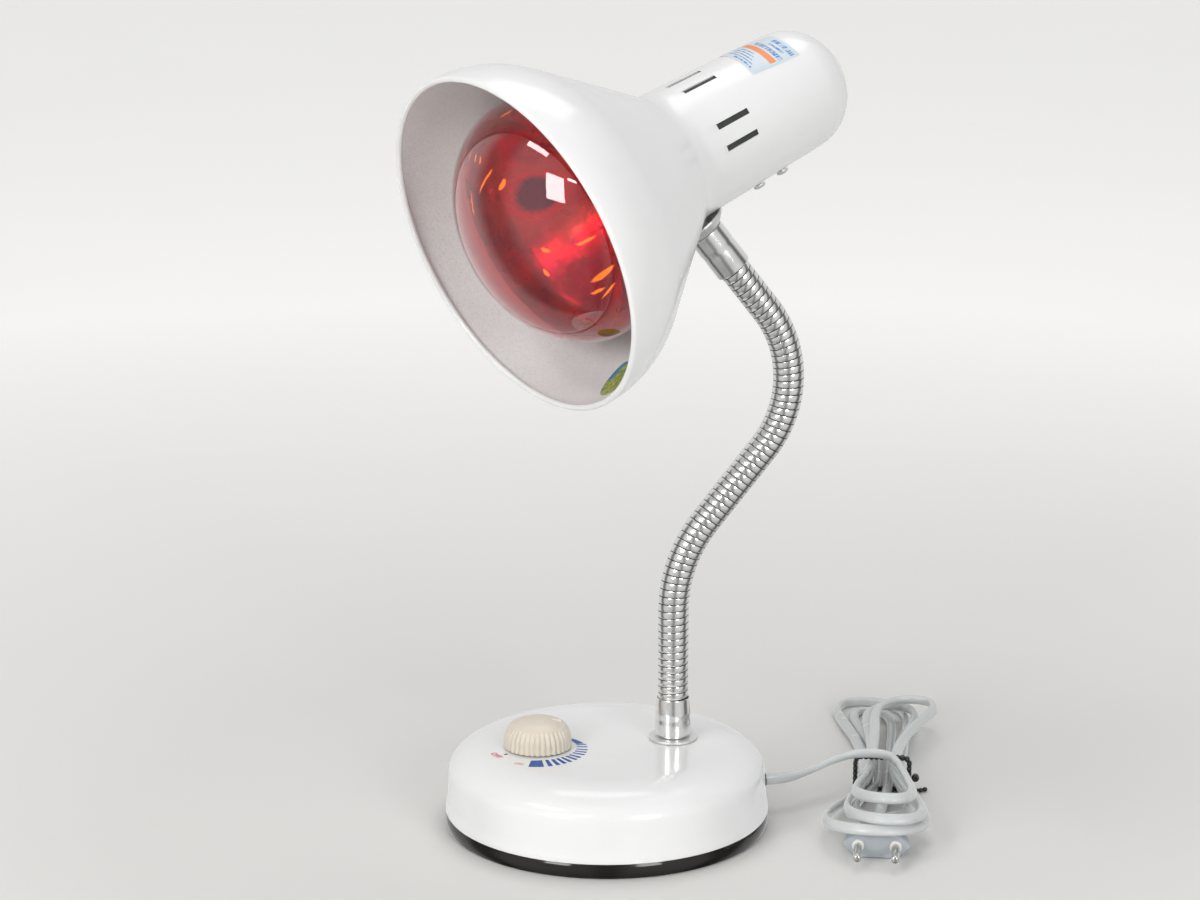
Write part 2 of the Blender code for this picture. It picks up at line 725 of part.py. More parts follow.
def make_dimmer(looks):
    """The potentiometer under the shell's top, held by its nut round the bushing."""
    seat = SHELL_CEILING - GAP
    bushing_top = SHELL_TOP_HEIGHT + GAP + POT_NUT_HEIGHT + BUSHING_SPARE
    bore_floor = seat - POT_HEIGHT + SHAFT_SEAT
    outline = [
        (0.0, seat - POT_HEIGHT),
        (POT_RADIUS, seat - POT_HEIGHT),
        (POT_RADIUS, seat),
        (BUSHING_RADIUS, seat),
        (BUSHING_RADIUS, bushing_top),
        (SHAFT_RADIUS + GAP, bushing_top),
        (SHAFT_RADIUS + GAP, bore_floor),
        (0.0, bore_floor),
    ]
    turned("dimmer_pot", outline, SIDES_MEDIUM, looks["steel"], KNOB_FRAME)
    nut(
        "dimmer_nut",
        POT_NUT_WIDTH,
        BUSHING_RADIUS + GAP,
        SHELL_TOP_HEIGHT + GAP,
        POT_NUT_HEIGHT,
        looks["steel"],
        KNOB_FRAME,
    )
    return bore_floor + GAP, bushing_top


def knob_outer(look, carrier):
    """The knob's fluted outside, ring by ring, closed at its crown."""
    form = bmesh.new()
    count = 2 * KNOB_FLUTES
    rings = []
    for radius_share, height_share, flute_share in KNOB_RING_SHARES:
        crest = KNOB_RADIUS * radius_share
        root = crest - KNOB_FLUTE_DEPTH * flute_share
        turns = [2.0 * math.pi * step / count for step in range(count)]
        radii = [(crest, root)[step % 2] for step in range(count)]
        height = KNOB_BOTTOM + KNOB_HEIGHT * height_share
        spots = [(r * math.cos(turn), r * math.sin(turn), height) for r, turn in zip(radii, turns)]
        rings.append([form.verts.new(spot) for spot in spots])
    crown = form.verts.new((0.0, 0.0, KNOB_BOTTOM + KNOB_HEIGHT))
    form.faces.new(rings[0])
    for lower, upper in zip(rings, rings[1:]):
        for step in range(count):
            after = (step + 1) % count
            form.faces.new((lower[step], lower[after], upper[after], upper[step]))
    for step in range(count):
        form.faces.new((rings[-1][step], rings[-1][(step + 1) % count], crown))
    return place(bpy.data.objects.new("dimmer_knob", closed(form, "dimmer_knob")), look, KNOB_FRAME, carrier)


def make_knob(looks, carrier, shaft_bottom, bushing_top):
    """The knob with its pointer and the bore of its hub, and the shaft that it turns."""
    knob = knob_outer(looks["ivory"], carrier)
    hub_bottom = bushing_top + KNOB_LIFT
    ceiling = KNOB_BOTTOM + KNOB_CAVITY_HEIGHT
    bore_top = hub_bottom + KNOB_BORE_DEPTH
    hollow = [
        (0.0, KNOB_BOTTOM - OVERRUN),
        (KNOB_RADIUS - KNOB_WALL, KNOB_BOTTOM - OVERRUN),
        (KNOB_RADIUS - KNOB_WALL, ceiling),
        (KNOB_HUB_RADIUS, ceiling),
        (KNOB_HUB_RADIUS, hub_bottom),
        (SHAFT_RADIUS + GAP, hub_bottom),
        (SHAFT_RADIUS + GAP, bore_top),
        (0.0, bore_top),
    ]
    shaped(knob, turned("knob_hollow", hollow, SIDES_MEDIUM, None, KNOB_FRAME), "DIFFERENCE")
    spot = Matrix.Rotation(KNOB_REST_TURN, 4, "Z")
    top = KNOB_BOTTOM + KNOB_HEIGHT * KNOB_RING_SHARES[-2][1] + POINTER_RISE
    centre = (POINTER_DISTANCE, 0.0, top - POINTER_HEIGHT / 2.0)
    size = (POINTER_LENGTH, POINTER_WIDTH, POINTER_HEIGHT)
    shaped(knob, block("knob_pointer", size, centre, None, KNOB_FRAME @ spot), "UNION")
    shaft = rod(SHAFT_RADIUS, shaft_bottom, bore_top - GAP)
    turned("dimmer_shaft", shaft, SIDES_SMALL, looks["steel"], KNOB_FRAME, carrier)


def make_board(looks):
    """The dimmer board under its two bosses, with its choke, capacitor, triac and heat sink."""
    centre = (0.0, 0.0, BOARD_HEIGHT + BOARD_THICKNESS / 2.0)
    board = block("dimmer_board", (BOARD_LENGTH, BOARD_WIDTH, BOARD_THICKNESS), centre, looks["board"])
    hole = rod(BOARD_PEG_RADIUS + GAP, BOARD_HEIGHT - OVERRUN, BOARD_HEIGHT + BOARD_THICKNESS + OVERRUN)
    shaped(board, cluster("board_holes", [(hole, SIDES_TINY, spot) for spot in board_spots()]), "DIFFERENCE")
    top = BOARD_HEIGHT + BOARD_THICKNESS + GAP
    middle = (CHOKE_RADIUS, top + CHOKE_WIRE_RADIUS)
    coil = arc(middle, (CHOKE_WIRE_RADIUS, CHOKE_WIRE_RADIUS), 0.0, 2.0 * math.pi, 8)
    turned("choke", coil[:-1], SIDES_SMALL, looks["copper"], Matrix.Translation((CHOKE_X, CHOKE_Y, 0.0)))
    spot = (CAPACITOR_X, CAPACITOR_Y, top + CAPACITOR_SIZE[2] / 2.0)
    block("film_capacitor", CAPACITOR_SIZE, spot, looks["red_plastic"])
    triac_height = SHELL_CEILING - TRIAC_HEADROOM - top
    spot = (TRIAC_X, TRIAC_Y, top + triac_height / 2.0)
    block("triac", (*TRIAC_SIZE, triac_height), spot, looks["black_plastic"])
    sink_x = TRIAC_X + TRIAC_SIZE[0] / 2.0 + GAP + SINK_SIZE[0] / 2.0
    sink_height = SHELL_CEILING - SINK_HEADROOM - top
    spot = (sink_x, TRIAC_Y, top + sink_height / 2.0)
    sink = block("heat_sink", (*SINK_SIZE, sink_height), spot, looks["aluminium"])
    trough = (SINK_SIZE[0], SINK_SIZE[1] - 2.0 * SINK_WALL, sink_height + 2.0 * OVERRUN)
    spot = (sink_x + SINK_WALL, TRIAC_Y, top + sink_height / 2.0)
    shaped(sink, block("heat_sink_trough", trough, spot, None), "DIFFERENCE")


def make_cord_entry(looks):
    """Terminal block, cord clamp, rubber grommet and the cord's end inside the base."""
    bottom = BALLAST_TOP + GAP
    block("terminal_block", BLOCK_SIZE, (BLOCK_X, 0.0, bottom + BLOCK_SIZE[2] / 2.0), looks["white_plastic"])
    clamp_middle = PAN_TOP + GAP + CLAMP_SIZE[2] / 2.0
    clamp = block("cord_clamp", CLAMP_SIZE, (CLAMP_X, 0.0, clamp_middle), looks["white_plastic"])
    hole = rod(CORD_RADIUS + GAP, CLAMP_X - CLAMP_SIZE[0], CLAMP_X + CLAMP_SIZE[0])
    shaped(clamp, turned("clamp_hole", hole, SIDES_SMALL, None, side_frame(CORD_EXIT_HEIGHT)), "DIFFERENCE")
    wall = base_wall_at(CORD_EXIT_HEIGHT)
    inner = wall - SHELL_WALL - GROMMET_SLACK
    outer = wall + GROMMET_SLACK
    bore = CORD_RADIUS + GAP
    grommet = [
        (bore, inner - GROMMET_FLANGE),
        (GROMMET_INNER_RADIUS, inner - GROMMET_FLANGE),
        (GROMMET_INNER_RADIUS, inner),
        (GROMMET_BODY_RADIUS, inner),
        (GROMMET_BODY_RADIUS, outer),
        (GROMMET_RADIUS, outer),
        (GROMMET_RADIUS, outer + GROMMET_FLANGE),
        (bore, outer + GROMMET_FLANGE),
    ]
    turned("cord_grommet", grommet, SIDES_SMALL, looks["rubber"], side_frame(CORD_EXIT_HEIGHT))
    start = Vector((BLOCK_X + BLOCK_SIZE[0] / 2.0 + GAP, 0.0, CORD_EXIT_HEIGHT))
    end = Vector((outer + GROMMET_FLANGE, 0.0, CORD_EXIT_HEIGHT))
    tube("cord_inner_end", [start, end], CORD_RADIUS, CORD_SIDES_RESOLUTION, looks["cord"])
    return end


def ferrule_outline(length, radius, bottom_radius, top_radius, recess, bore):
    """A crimped ferrule from its bottom at zero: a threaded end, then a socket for the neck's spigot."""
    waist = length * FERRULE_CRIMP_SHARE
    socket = length - FERRULE_SOCKET_DEPTH
    return [
        (bore, 0.0),
        (bottom_radius, 0.0),
        (bottom_radius, recess),
        (radius, recess),
        (radius, waist - FERRULE_CRIMP_HALF_WIDTH),
        (radius - FERRULE_CRIMP_DEPTH, waist),
        (radius, waist + FERRULE_CRIMP_HALF_WIDTH),
        (top_radius, length),
        (FERRULE_SOCKET_RADIUS, length),
        (FERRULE_SOCKET_RADIUS, socket),
        (bore, socket),
    ]


def make_neck_foot(looks):
    """The washer and ferrule on the shell, the nipple through it and the nut below."""
    washer_bottom = SHELL_TOP_HEIGHT + GAP
    bore = NIPPLE_RADIUS + GAP
    washer = ring(bore, FOOT_WASHER_RADIUS, washer_bottom, washer_bottom + FOOT_WASHER_THICKNESS)
    turned("foot_washer", washer, SIDES_MEDIUM, looks["zinc"], FOOT_FRAME)
    ferrule = ferrule_outline(
        FERRULE_LENGTH,
        FERRULE_RADIUS,
        FERRULE_RECESS_RADIUS,
        FERRULE_TOP_RADIUS,
        FERRULE_RECESS_HEIGHT,
        bore,
    )
    spot = FOOT_FRAME @ Matrix.Translation((0.0, 0.0, FERRULE_BOTTOM))
    turned("foot_ferrule", ferrule, SIDES_MEDIUM, looks["chrome"], spot)
    nipple_top = FERRULE_BOTTOM + NIPPLE_ENGAGEMENT
    nipple = ring(NIPPLE_BORE_RADIUS, NIPPLE_RADIUS, NIPPLE_BOTTOM, nipple_top)
    turned("foot_nipple", nipple, SIDES_SMALL, looks["zinc"], FOOT_FRAME)
    nut_bottom = SHELL_CEILING - GAP - NECK_NUT_HEIGHT
    nut("foot_nut", NECK_NUT_WIDTH, bore, nut_bottom, NECK_NUT_HEIGHT, looks["zinc"], FOOT_FRAME)


def bent_along_neck(mesh):
    """Bends a mesh that stands on the Z axis so that its axis follows the neck's centreline."""
    for vertex in mesh.vertices:
        across = Vector((vertex.co.x, vertex.co.y, 0.0))
        vertex.co = neck_frame(vertex.co.z) @ across
    return mesh


def hose_outline(start, ribs, spigot_below, spigot_above):
    """A ribbed length of the neck with its bore, and a smooth spigot where it enters a ferrule."""
    crests = [(RIB_RADIUS, start + (rib + 0.5) * RIB_PITCH) for rib in range(ribs)]
    roots = [(RIB_ROOT_RADIUS, start + rib * RIB_PITCH) for rib in range(ribs + 1)]
    outer = sorted(crests + roots, key=lambda point: point[1])
    end = start + ribs * RIB_PITCH
    lower = start - (GAP + NECK_SPIGOT_LENGTH) * spigot_below
    upper = end + (GAP + NECK_SPIGOT_LENGTH) * spigot_above
    if spigot_below:
        outer = [(NECK_SPIGOT_RADIUS, lower), (NECK_SPIGOT_RADIUS, start)] + outer[1:]
    if spigot_above:
        outer = outer[:-1] + [(NECK_SPIGOT_RADIUS, end), (NECK_SPIGOT_RADIUS, upper)]
    steps = max(1, round((upper - lower) / (3.0 * RIB_PITCH)))
    inner = [(NECK_BORE_RADIUS, upper + (lower - upper) * step / steps) for step in range(steps + 1)]
    return outer + inner


def make_neck(look, foot):
    """The gooseneck's lengths in turn: stiff sections between short zones that bend."""
    start = GAP
    carrier = foot
    joints = []
    for number, ribs in enumerate(NECK_RIBS):
        length = ribs * RIB_PITCH
        zone = number % 2
        if zone:
            axis = empty(f"neck_joint_{number // 2 + 1}", neck_frame(start + length / 2.0), carrier)
            joints.append(axis)
        name = f"neck_bend_{number // 2 + 1}" if zone else f"neck_section_{number // 2 + 1}"
        outline = hose_outline(start, ribs, number == 0, number == len(NECK_RIBS) - 1)
        form = bmesh.new()
        spun(form, outline, NECK_SIDES)
        mesh = bent_along_neck(closed(form, name))
        place(bpy.data.objects.new(name, mesh), look, None, carrier)
        if zone:
            carrier = axis
        start = start + length + GAP
    return joints


def shade_wall(offset):
    """The shade's side from behind its rim to the middle of its back, at an offset inside its outer face."""
    taper = math.atan((HOUSING_RADIUS - HOUSING_END_RADIUS) / HOUSING_LENGTH)
    points = []
    heading = 0.0
    spot = (SHADE_RADIUS, SHADE_LIP)

    def keep():
        points.append((spot[0] - offset * math.cos(heading), spot[1] - offset * math.sin(heading)))

    def bend(radius, target, steps, way):
        nonlocal heading, spot
        start = heading
        origin = spot
        for step in range(1, steps + 1):
            heading = start + (target - start) * step / steps
            fall = radius * way * (math.cos(start) - math.cos(heading))
            run = radius * way * (math.sin(heading) - math.sin(start))
            spot = (origin[0] - fall, origin[1] + run)
            keep()

    keep()
    bend(SHADE_DISH_RADIUS, SHADE_SLOPE, 4, 1.0)
    fillet_fall = SHADE_FILLET * (math.cos(taper) - math.cos(SHADE_SLOPE))
    cone_end = HOUSING_RADIUS + fillet_fall
    spot = (cone_end, spot[1] + (spot[0] - cone_end) / math.tan(SHADE_SLOPE))
    keep()
    bend(SHADE_FILLET, taper, 3, -1.0)
    spot = (HOUSING_END_RADIUS, HOUSING_STRAIGHT_END)
    keep()
    bend(HOUSING_ROUNDING, math.pi / 2.0, 3, 1.0)
    points.append((0.0, spot[1] - offset))
    return points


def shade_outline():
    """The shade's sheet with its rim rolled inward."""
    outer = shade_wall(0.0)
    inner = shade_wall(SHADE_WALL)
    bead = (SHADE_RADIUS - SHADE_BEAD_RADIUS, SHADE_BEAD_RADIUS)
    radii = (SHADE_BEAD_RADIUS, SHADE_BEAD_RADIUS)
    rim = arc(bead, radii, math.radians(-240.0), 0.0, 5)
    return rim + outer + inner[::-1]


def housing_radius(depth):
    """The housing's outer radius at a depth along its straight part."""
    wall = shade_wall(0.0)
    return float(np.interp(depth, [height for _, height in wall], [radius for radius, _ in wall]))


def vent_cutters():
    """A slot through the housing for each vent, in pairs."""
    form = bmesh.new()
    for pair in VENT_PAIR_ANGLES:
        for way in (-1.0, 1.0):
            turn = pair + HEAD_FITTING_TURN + way * VENT_HALF_SPACING
            spot = Matrix.Rotation(math.radians(turn), 4, "Z")
            middle = (HOUSING_RADIUS, 0.0, VENT_START + VENT_LENGTH / 2.0)
            slot = bmesh.ops.create_cube(form, size=1.0)["verts"]
            bmesh.ops.scale(form, vec=(HOUSING_ROUNDING, VENT_WIDTH, VENT_LENGTH), verts=slot)
            bmesh.ops.translate(form, vec=middle, verts=slot)
            bmesh.ops.transform(form, matrix=spot, verts=slot)
    return place(bpy.data.objects.new("vent_slots", closed(form, "vent_slots")), None, HEAD)


def bracket_spots():
    """The two bracket screws' frames, pointing out from the shade's axis."""
    return [radial(180.0 + HEAD_FITTING_TURN, depth) for depth in BRACKET_SCREW_DEPTHS]


def make_shade(look, carrier):
    """The shade, pierced for its vents, for the nipple and for the bracket's screws."""
    shade = turned("shade", shade_outline(), SIDES_SHADE, look, HEAD, carrier)
    shaped(shade, vent_cutters(), "DIFFERENCE")
    hole = rod(BRACKET_SCREW_RADIUS + GAP, HOUSING_END_RADIUS - 2.0 * OVERRUN, HOUSING_RADIUS + OVERRUN)
    holes = [(hole, SIDES_TINY, spot) for spot in bracket_spots()]
    shaped(shade, cluster("bracket_screw_holes", holes, HEAD), "DIFFERENCE")
    nipple = rod(NIPPLE_RADIUS + GAP, HEAD_NIPPLE_START, HEAD_NIPPLE_END)
    shaped(shade, turned("shade_nipple_hole", nipple, SIDES_SMALL, None, NECK_END), "DIFFERENCE")


def make_head_fitting(looks, carrier):
    """The neck's upper ferrule, the dished washer on the shade, and the nipple and nut inside."""
    bore = NIPPLE_RADIUS + GAP
    ferrule = ferrule_outline(
        UPPER_FERRULE_LENGTH,
        UPPER_FERRULE_RADIUS,
        UPPER_FERRULE_RADIUS,
        UPPER_FERRULE_RADIUS,
        FERRULE_RECESS_HEIGHT,
        bore,
    )
    far = NECK_END @ Matrix.Translation((0.0, 0.0, UPPER_FERRULE_LENGTH))
    flipped = far @ Matrix.Rotation(math.pi, 4, "X")
    turned("head_ferrule", ferrule, SIDES_MEDIUM, looks["chrome"], flipped, carrier)
    start = UPPER_FERRULE_LENGTH + GAP
    dish = [
        (bore, start),
        (UPPER_FERRULE_RADIUS, start),
        (DISH_RADIUS, start + DISH_DEPTH - DISH_WALL),
        (DISH_RADIUS, start + DISH_DEPTH),
        (DISH_RADIUS - DISH_WALL, start + DISH_DEPTH),
        (UPPER_FERRULE_RADIUS - DISH_WALL, start + DISH_WALL),
        (bore, start + DISH_WALL),
    ]
    washer = turned("head_dish_washer", dish, SIDES_MEDIUM, looks["zinc"], NECK_END, carrier)
    clear = [(radius + GAP, depth) for radius, depth in shade_wall(0.0)[:-1]]
    clear = clear + [(0.0, clear[-1][1]), (0.0, clear[0][1])]
    shaped(washer, turned("washer_clearance", clear, SIDES_SHADE, None, HEAD), "DIFFERENCE")
    nipple = ring(NIPPLE_BORE_RADIUS, NIPPLE_RADIUS, HEAD_NIPPLE_START, HEAD_NIPPLE_END)
    turned("head_nipple", nipple, SIDES_SMALL, looks["zinc"], NECK_END, carrier)
    saddle = ring(bore, SADDLE_RADIUS, start, SADDLE_END)
    saddle = turned("head_nut", saddle, SIDES_MEDIUM, looks["zinc"], NECK_END, carrier)
    inside = [(radius - GAP, depth) for radius, depth in shade_wall(SHADE_WALL)[:-1]]
    inside = inside + [(0.0, inside[-1][1]), (0.0, inside[0][1])]
    shaped(saddle, turned("saddle_seat", inside, SIDES_SHADE, None, HEAD), "INTERSECT")


def bulb_wall(offset):
    """The bulb's side from its neck's end to the middle of its front, at an offset inside its outer face."""
    shoulder = BULB_FRONT + BULB_FRONT_DEPTH
    centre = (0.0, shoulder)
    quarter = math.pi / 2.0
    front = arc(centre, (BULB_RADIUS - offset, BULB_FRONT_DEPTH - offset), 0.0, -quarter, 5)
    back_centre = (BULB_RADIUS - BULB_SHOULDER_RADIUS, shoulder)
    radius = BULB_SHOULDER_RADIUS - offset
    back = arc(back_centre, (radius, radius), BULB_SLOPE, 0.0, 3)
    cone_radius, cone_depth = back[0]
    neck = BULB_NECK_RADIUS - offset
    neck_start = cone_depth + (cone_radius - neck) / math.tan(BULB_SLOPE)
    collar = CAP_RADIUS - CAP_WALL - GAP - offset
    side = [(collar, BULB_COLLAR_END), (collar, BULB_COLLAR_START), (neck, BULB_NECK_END), (neck, neck_start)]
    return side + back[:-1] + front[:-1] + [(0.0, front[-1][1])]


def make_bulb(looks, carrier):
    """The reflector bulb: glass, screw cap, insulated contact at its end, stem and filament."""
    glass = bulb_wall(0.0) + bulb_wall(BULB_GLASS)[::-1]
    turned("bulb_glass", glass, SIDES_BULB, looks["bulb"], HEAD, carrier)
    cap = ring(CAP_RADIUS - CAP_WALL, CAP_RADIUS, CAP_START, CAP_END)
    turned("bulb_cap", cap, SIDES_MEDIUM, looks["brass"], HEAD, carrier)
    start = CAP_END + GAP
    end = start + CAP_INSULATOR_LENGTH
    tip = end + CAP_CONTACT_LENGTH
    insulator = [(0.0, start), (CAP_RADIUS, start), (CAP_INSULATOR_RADIUS, end)]
    insulator = insulator + [(CAP_CONTACT_RADIUS, end), (CAP_CONTACT_RADIUS, tip), (0.0, tip)]
    turned("bulb_contact", insulator, SIDES_MEDIUM, looks["black_plastic"], HEAD, carrier)
    stem = [(0.0, STEM_START), (STEM_RADIUS / 2.0, STEM_START), (STEM_RADIUS, BULB_COLLAR_START)]
    stem = stem + [(STEM_RADIUS, CAP_END - GAP), (0.0, CAP_END - GAP)]
    turned("bulb_stem", stem, SIDES_SMALL, looks["glass"], HEAD, carrier)
    gap = STEM_START - GAP
    half = FILAMENT_HALF_SPAN
    foot = STEM_RADIUS / 2.0
    middle = (gap + FILAMENT_DEPTH) / 2.0
    spots = [(-foot, 0.0, gap), (-half, 0.0, middle), (-half, 0.0, FILAMENT_DEPTH)]
    spots = spots + [(0.0, 0.0, FILAMENT_DEPTH - foot)] + [(-x, y, z) for x, y, z in reversed(spots)]
    route = [HEAD @ point for point in smooth_route(spots, 2.0 * foot)]
    tube("bulb_filament", route, FILAMENT_WIRE_RADIUS, 1, looks["steel"], carrier)
    return tip


def make_socket(looks, carrier, contact_end):
    """The ceramic socket round the cap with its screw shell, and the sheet bracket with its screws."""
    floor = contact_end + GAP
    ceramic = [
        (SOCKET_BORE_RADIUS, SOCKET_START),
        (SOCKET_RADIUS, SOCKET_START),
        (SOCKET_RADIUS, SOCKET_STEP),
        (SOCKET_REAR_RADIUS, SOCKET_STEP),
        (SOCKET_REAR_RADIUS, SOCKET_END),
        (0.0, SOCKET_END),
        (0.0, floor),
        (SOCKET_BORE_RADIUS, floor),
    ]
    turned("socket_body", ceramic, SIDES_MEDIUM, looks["ceramic"], HEAD, carrier)
    inner = SHELL_CONTACT_RADIUS - SHELL_CONTACT_WALL
    threads = ring(inner, SHELL_CONTACT_RADIUS, SOCKET_START + GAP, SOCKET_START + SHELL_CONTACT_LENGTH)
    turned("socket_screw_shell", threads, SIDES_MEDIUM, looks["brass"], HEAD, carrier)
    make_bracket(looks, carrier)


def make_bracket(looks, carrier):
    """An angle of sheet steel: one leg against the housing, the other across behind the socket."""
    slack = SHADE_WALL + GAP
    rear = SOCKET_END + GAP + BRACKET_THICKNESS
    front_radius = housing_radius(BRACKET_START) - slack
    rear_radius = housing_radius(rear) - slack
    cup = [
        (front_radius - BRACKET_THICKNESS, BRACKET_START),
        (front_radius, BRACKET_START),
        (rear_radius, rear),
        (0.0, rear),
        (0.0, rear - BRACKET_THICKNESS),
        (rear_radius - BRACKET_THICKNESS, rear - BRACKET_THICKNESS),
    ]
    bracket = turned("socket_bracket", cup, SIDES_SHADE, looks["zinc"], HEAD, carrier)
    turn = HEAD @ Matrix.Rotation(math.radians(180.0 + HEAD_FITTING_TURN), 4, "Z")
    span = BRACKET_REACH + HOUSING_RADIUS
    size = (span, BRACKET_WIDTH, rear - BRACKET_START + OVERRUN)
    spot = (span / 2.0 - BRACKET_REACH, 0.0, (rear + BRACKET_START) / 2.0)
    shaped(bracket, block("bracket_strip", size, spot, None, turn), "INTERSECT")
    centre_hole = rod(BRACKET_HOLE_RADIUS, SOCKET_END, rear + OVERRUN)
    hole = rod(BRACKET_SCREW_RADIUS + GAP, rear_radius - 2.0 * OVERRUN, HOUSING_RADIUS + OVERRUN)
    holes = [(centre_hole, SIDES_TINY, Matrix.Identity(4))]
    holes += [(hole, SIDES_TINY, spot) for spot in bracket_spots()]
    shaped(bracket, cluster("bracket_holes", holes, HEAD), "DIFFERENCE")
    length = slack + BRACKET_THICKNESS + BRACKET_SCREW_SPARE
    for number, (spot, depth) in enumerate(zip(bracket_spots(), BRACKET_SCREW_DEPTHS), 1):
        seat = housing_radius(depth) + GAP
        screw = screw_outline(
            BRACKET_SCREW_RADIUS,
            BRACKET_SCREW_HEAD_RADIUS,
            BRACKET_SCREW_HEAD_HEIGHT,
            seat,
            length,
            -1.0,
        )
        turned(f"bracket_screw_{number}", screw, SIDES_TINY, looks["zinc"], HEAD @ spot, carrier)


def make_leads(looks, carrier):
    """The lamp's lead from the terminal block up the neck to the socket."""
    face = BLOCK_X - BLOCK_SIZE[0] / 2.0 - GAP
    rise = LEAD_HEIGHT + LEAD_RISE
    foot = [(face, 0.0, LEAD_HEIGHT), (NECK_OFFSET, 0.0, LEAD_HEIGHT), (NECK_OFFSET, 0.0, rise)]
    steps = round(NECK_LENGTH / (5.0 * LEAD_RADIUS))
    inside = [neck_frame(NECK_LENGTH * step / steps).translation for step in range(steps + 1)]
    lean = math.sin(HEAD_TILT)
    crossing = HEAD_REACH - LEAD_RING_RADIUS / math.cos(HEAD_TILT)
    depth = HEAD_DEPTH + lean * (HEAD_REACH - crossing)
    head = [
        NECK_END @ Vector((0.0, 0.0, HEAD_NIPPLE_START)),
        HEAD @ Vector((-LEAD_RING_RADIUS, 0.0, depth)),
        HEAD @ Vector((-LEAD_RING_RADIUS, 0.0, LEAD_END_DEPTH)),
        HEAD @ Vector((-SOCKET_REAR_RADIUS - GAP, 0.0, LEAD_END_DEPTH)),
    ]
    route = rounded([Vector(spot) for spot in foot], LEAD_CORNER) + inside + rounded(head, LEAD_CORNER)
    tube("lamp_lead", route, LEAD_RADIUS, 1, looks["lead"], carrier)


def hank_route():
    """The hank's centreline: lobes to the front and the rear in turn, drawn in alike at the waist."""
    along = Vector((math.cos(HANK_TURN), math.sin(HANK_TURN), 0.0))
    across = Vector((math.sin(HANK_TURN), -math.cos(HANK_TURN), 0.0))
    waist = Vector((*HANK_WAIST, 0.0))
    floor = CORD_RADIUS + TIE_THICKNESS + GAP
    route = []
    for number, (length_share, width_share, fan, layers) in enumerate(HANK_LOBE_SHARES):
        side = 1.0 - 2.0 * (number % 2)
        swell = HANK_FRONT_SWELL if length_share < 0.0 else HANK_REAR_SWELL
        slot, next_slot = HANK_SLOT_SHARES[number : number + 2]
        length = HANK_LENGTH * length_share
        last = number == len(HANK_LOBE_SHARES) - 1
        for step in range(number == 0, HANK_POINTS + last):
            turn = math.pi * step / HANK_POINTS
            done = (1.0 - math.cos(turn)) / 2.0
            out = math.sin(turn)
            column = HANK_COLUMN + HANK_STEP * (slot[0] + (next_slot[0] - slot[0]) * done)
            level = floor + HANK_STEP * (slot[1] + (next_slot[1] - slot[1]) * done)
            tip = CORD_RADIUS + HANK_STEP * layers
            sway = math.tan(math.radians(fan)) * abs(length) * out**2
            spread = side * math.cos(turn) * (column + HANK_WIDTH * width_share * out**swell) + sway
            height = Vector((0.0, 0.0, level + (tip - level) * out**2))
            route.append(waist + length * out * along + spread * across + height)
    lead_in = (route[1] - route[0]).normalized() * 2.0 * CORD_RADIUS
    lead_out = (route[-1] - route[-2]).normalized() * 2.0 * CORD_RADIUS
    return [route[0] - lead_in] + route + [route[-1] + lead_out]


def stretch_distance(start, end, other_start, other_end):
    """The least distance between two straight stretches."""
    one = end - start
    two = other_end - other_start
    between = start - other_start
    lengths = one.dot(one), one.dot(two), two.dot(two)
    spread = lengths[0] * lengths[2] - lengths[1] ** 2
    share = 0.0
    if spread > WELD**2:
        share = (lengths[1] * two.dot(between) - one.dot(between) * lengths[2]) / spread
        share = min(max(share, 0.0), 1.0)
    other = min(max((lengths[1] * share + two.dot(between)) / lengths[2], 0.0), 1.0)
    share = min(max((other * lengths[1] - one.dot(between)) / lengths[0], 0.0), 1.0)
    return (between + share * one - other * two).length


def least_gap(route, radius):
    """The least gap that a tube on this route leaves to itself, past its nearest stretches."""
    stretches = list(zip(route, route[1:]))
    gaps = [
        stretch_distance(*stretch, *other)
        for number, stretch in enumerate(stretches)
        for other in stretches[number + 3 :]
    ]
    return min(gaps) - 2.0 * radius


def make_tie(look):
    """The tie round the hank's waist, with its head and its tail on the table."""
    columns = max(slot[0] for slot in HANK_SLOT_SHARES)
    layers = max(slot[1] for slot in HANK_SLOT_SHARES[1:])
    inner = 2.0 * (HANK_COLUMN + HANK_STEP * columns + CORD_RADIUS + TIE_SLACK)
    height = 2.0 * (CORD_RADIUS + GAP) + HANK_STEP * layers
    frame = Matrix.Translation((*HANK_WAIST, 0.0)) @ Matrix.Rotation(HANK_TURN - math.pi / 2.0, 4, "Z")
    middle = (0.0, 0.0, TIE_THICKNESS + height / 2.0)
    outer_size = (inner + 2.0 * TIE_THICKNESS, TIE_WIDTH, height + 2.0 * TIE_THICKNESS)
    tie = block("cord_tie", outer_size, middle, look, frame)
    opening = (inner, TIE_WIDTH + OVERRUN, height)
    shaped(tie, block("tie_opening", opening, middle, None, frame), "DIFFERENCE")
    edge = inner / 2.0
    head_size = (TIE_HEAD, TIE_HEAD, TIE_HEAD)
    head_spot = (edge + TIE_HEAD / 2.0, 0.0, height / 2.0)
    shaped(tie, block("tie_head", head_size, head_spot, None, frame), "UNION")
    tail_size = (TIE_TAIL, TIE_WIDTH, TIE_THICKNESS)
    tail_spot = (edge + TIE_TAIL / 2.0, 0.0, TIE_THICKNESS / 2.0)
    shaped(tie, block("tie_tail", tail_size, tail_spot, None, frame), "UNION")


def plug_frame():
    """The plug's frame: origin in the middle of its pin face, +Y back to where its lead goes in."""
    spot = Matrix.Translation((*PLUG_FACE, PLUG_THICKNESS / 2.0))
    return spot @ Matrix.Rotation(PLUG_TURN, 4, "Z")


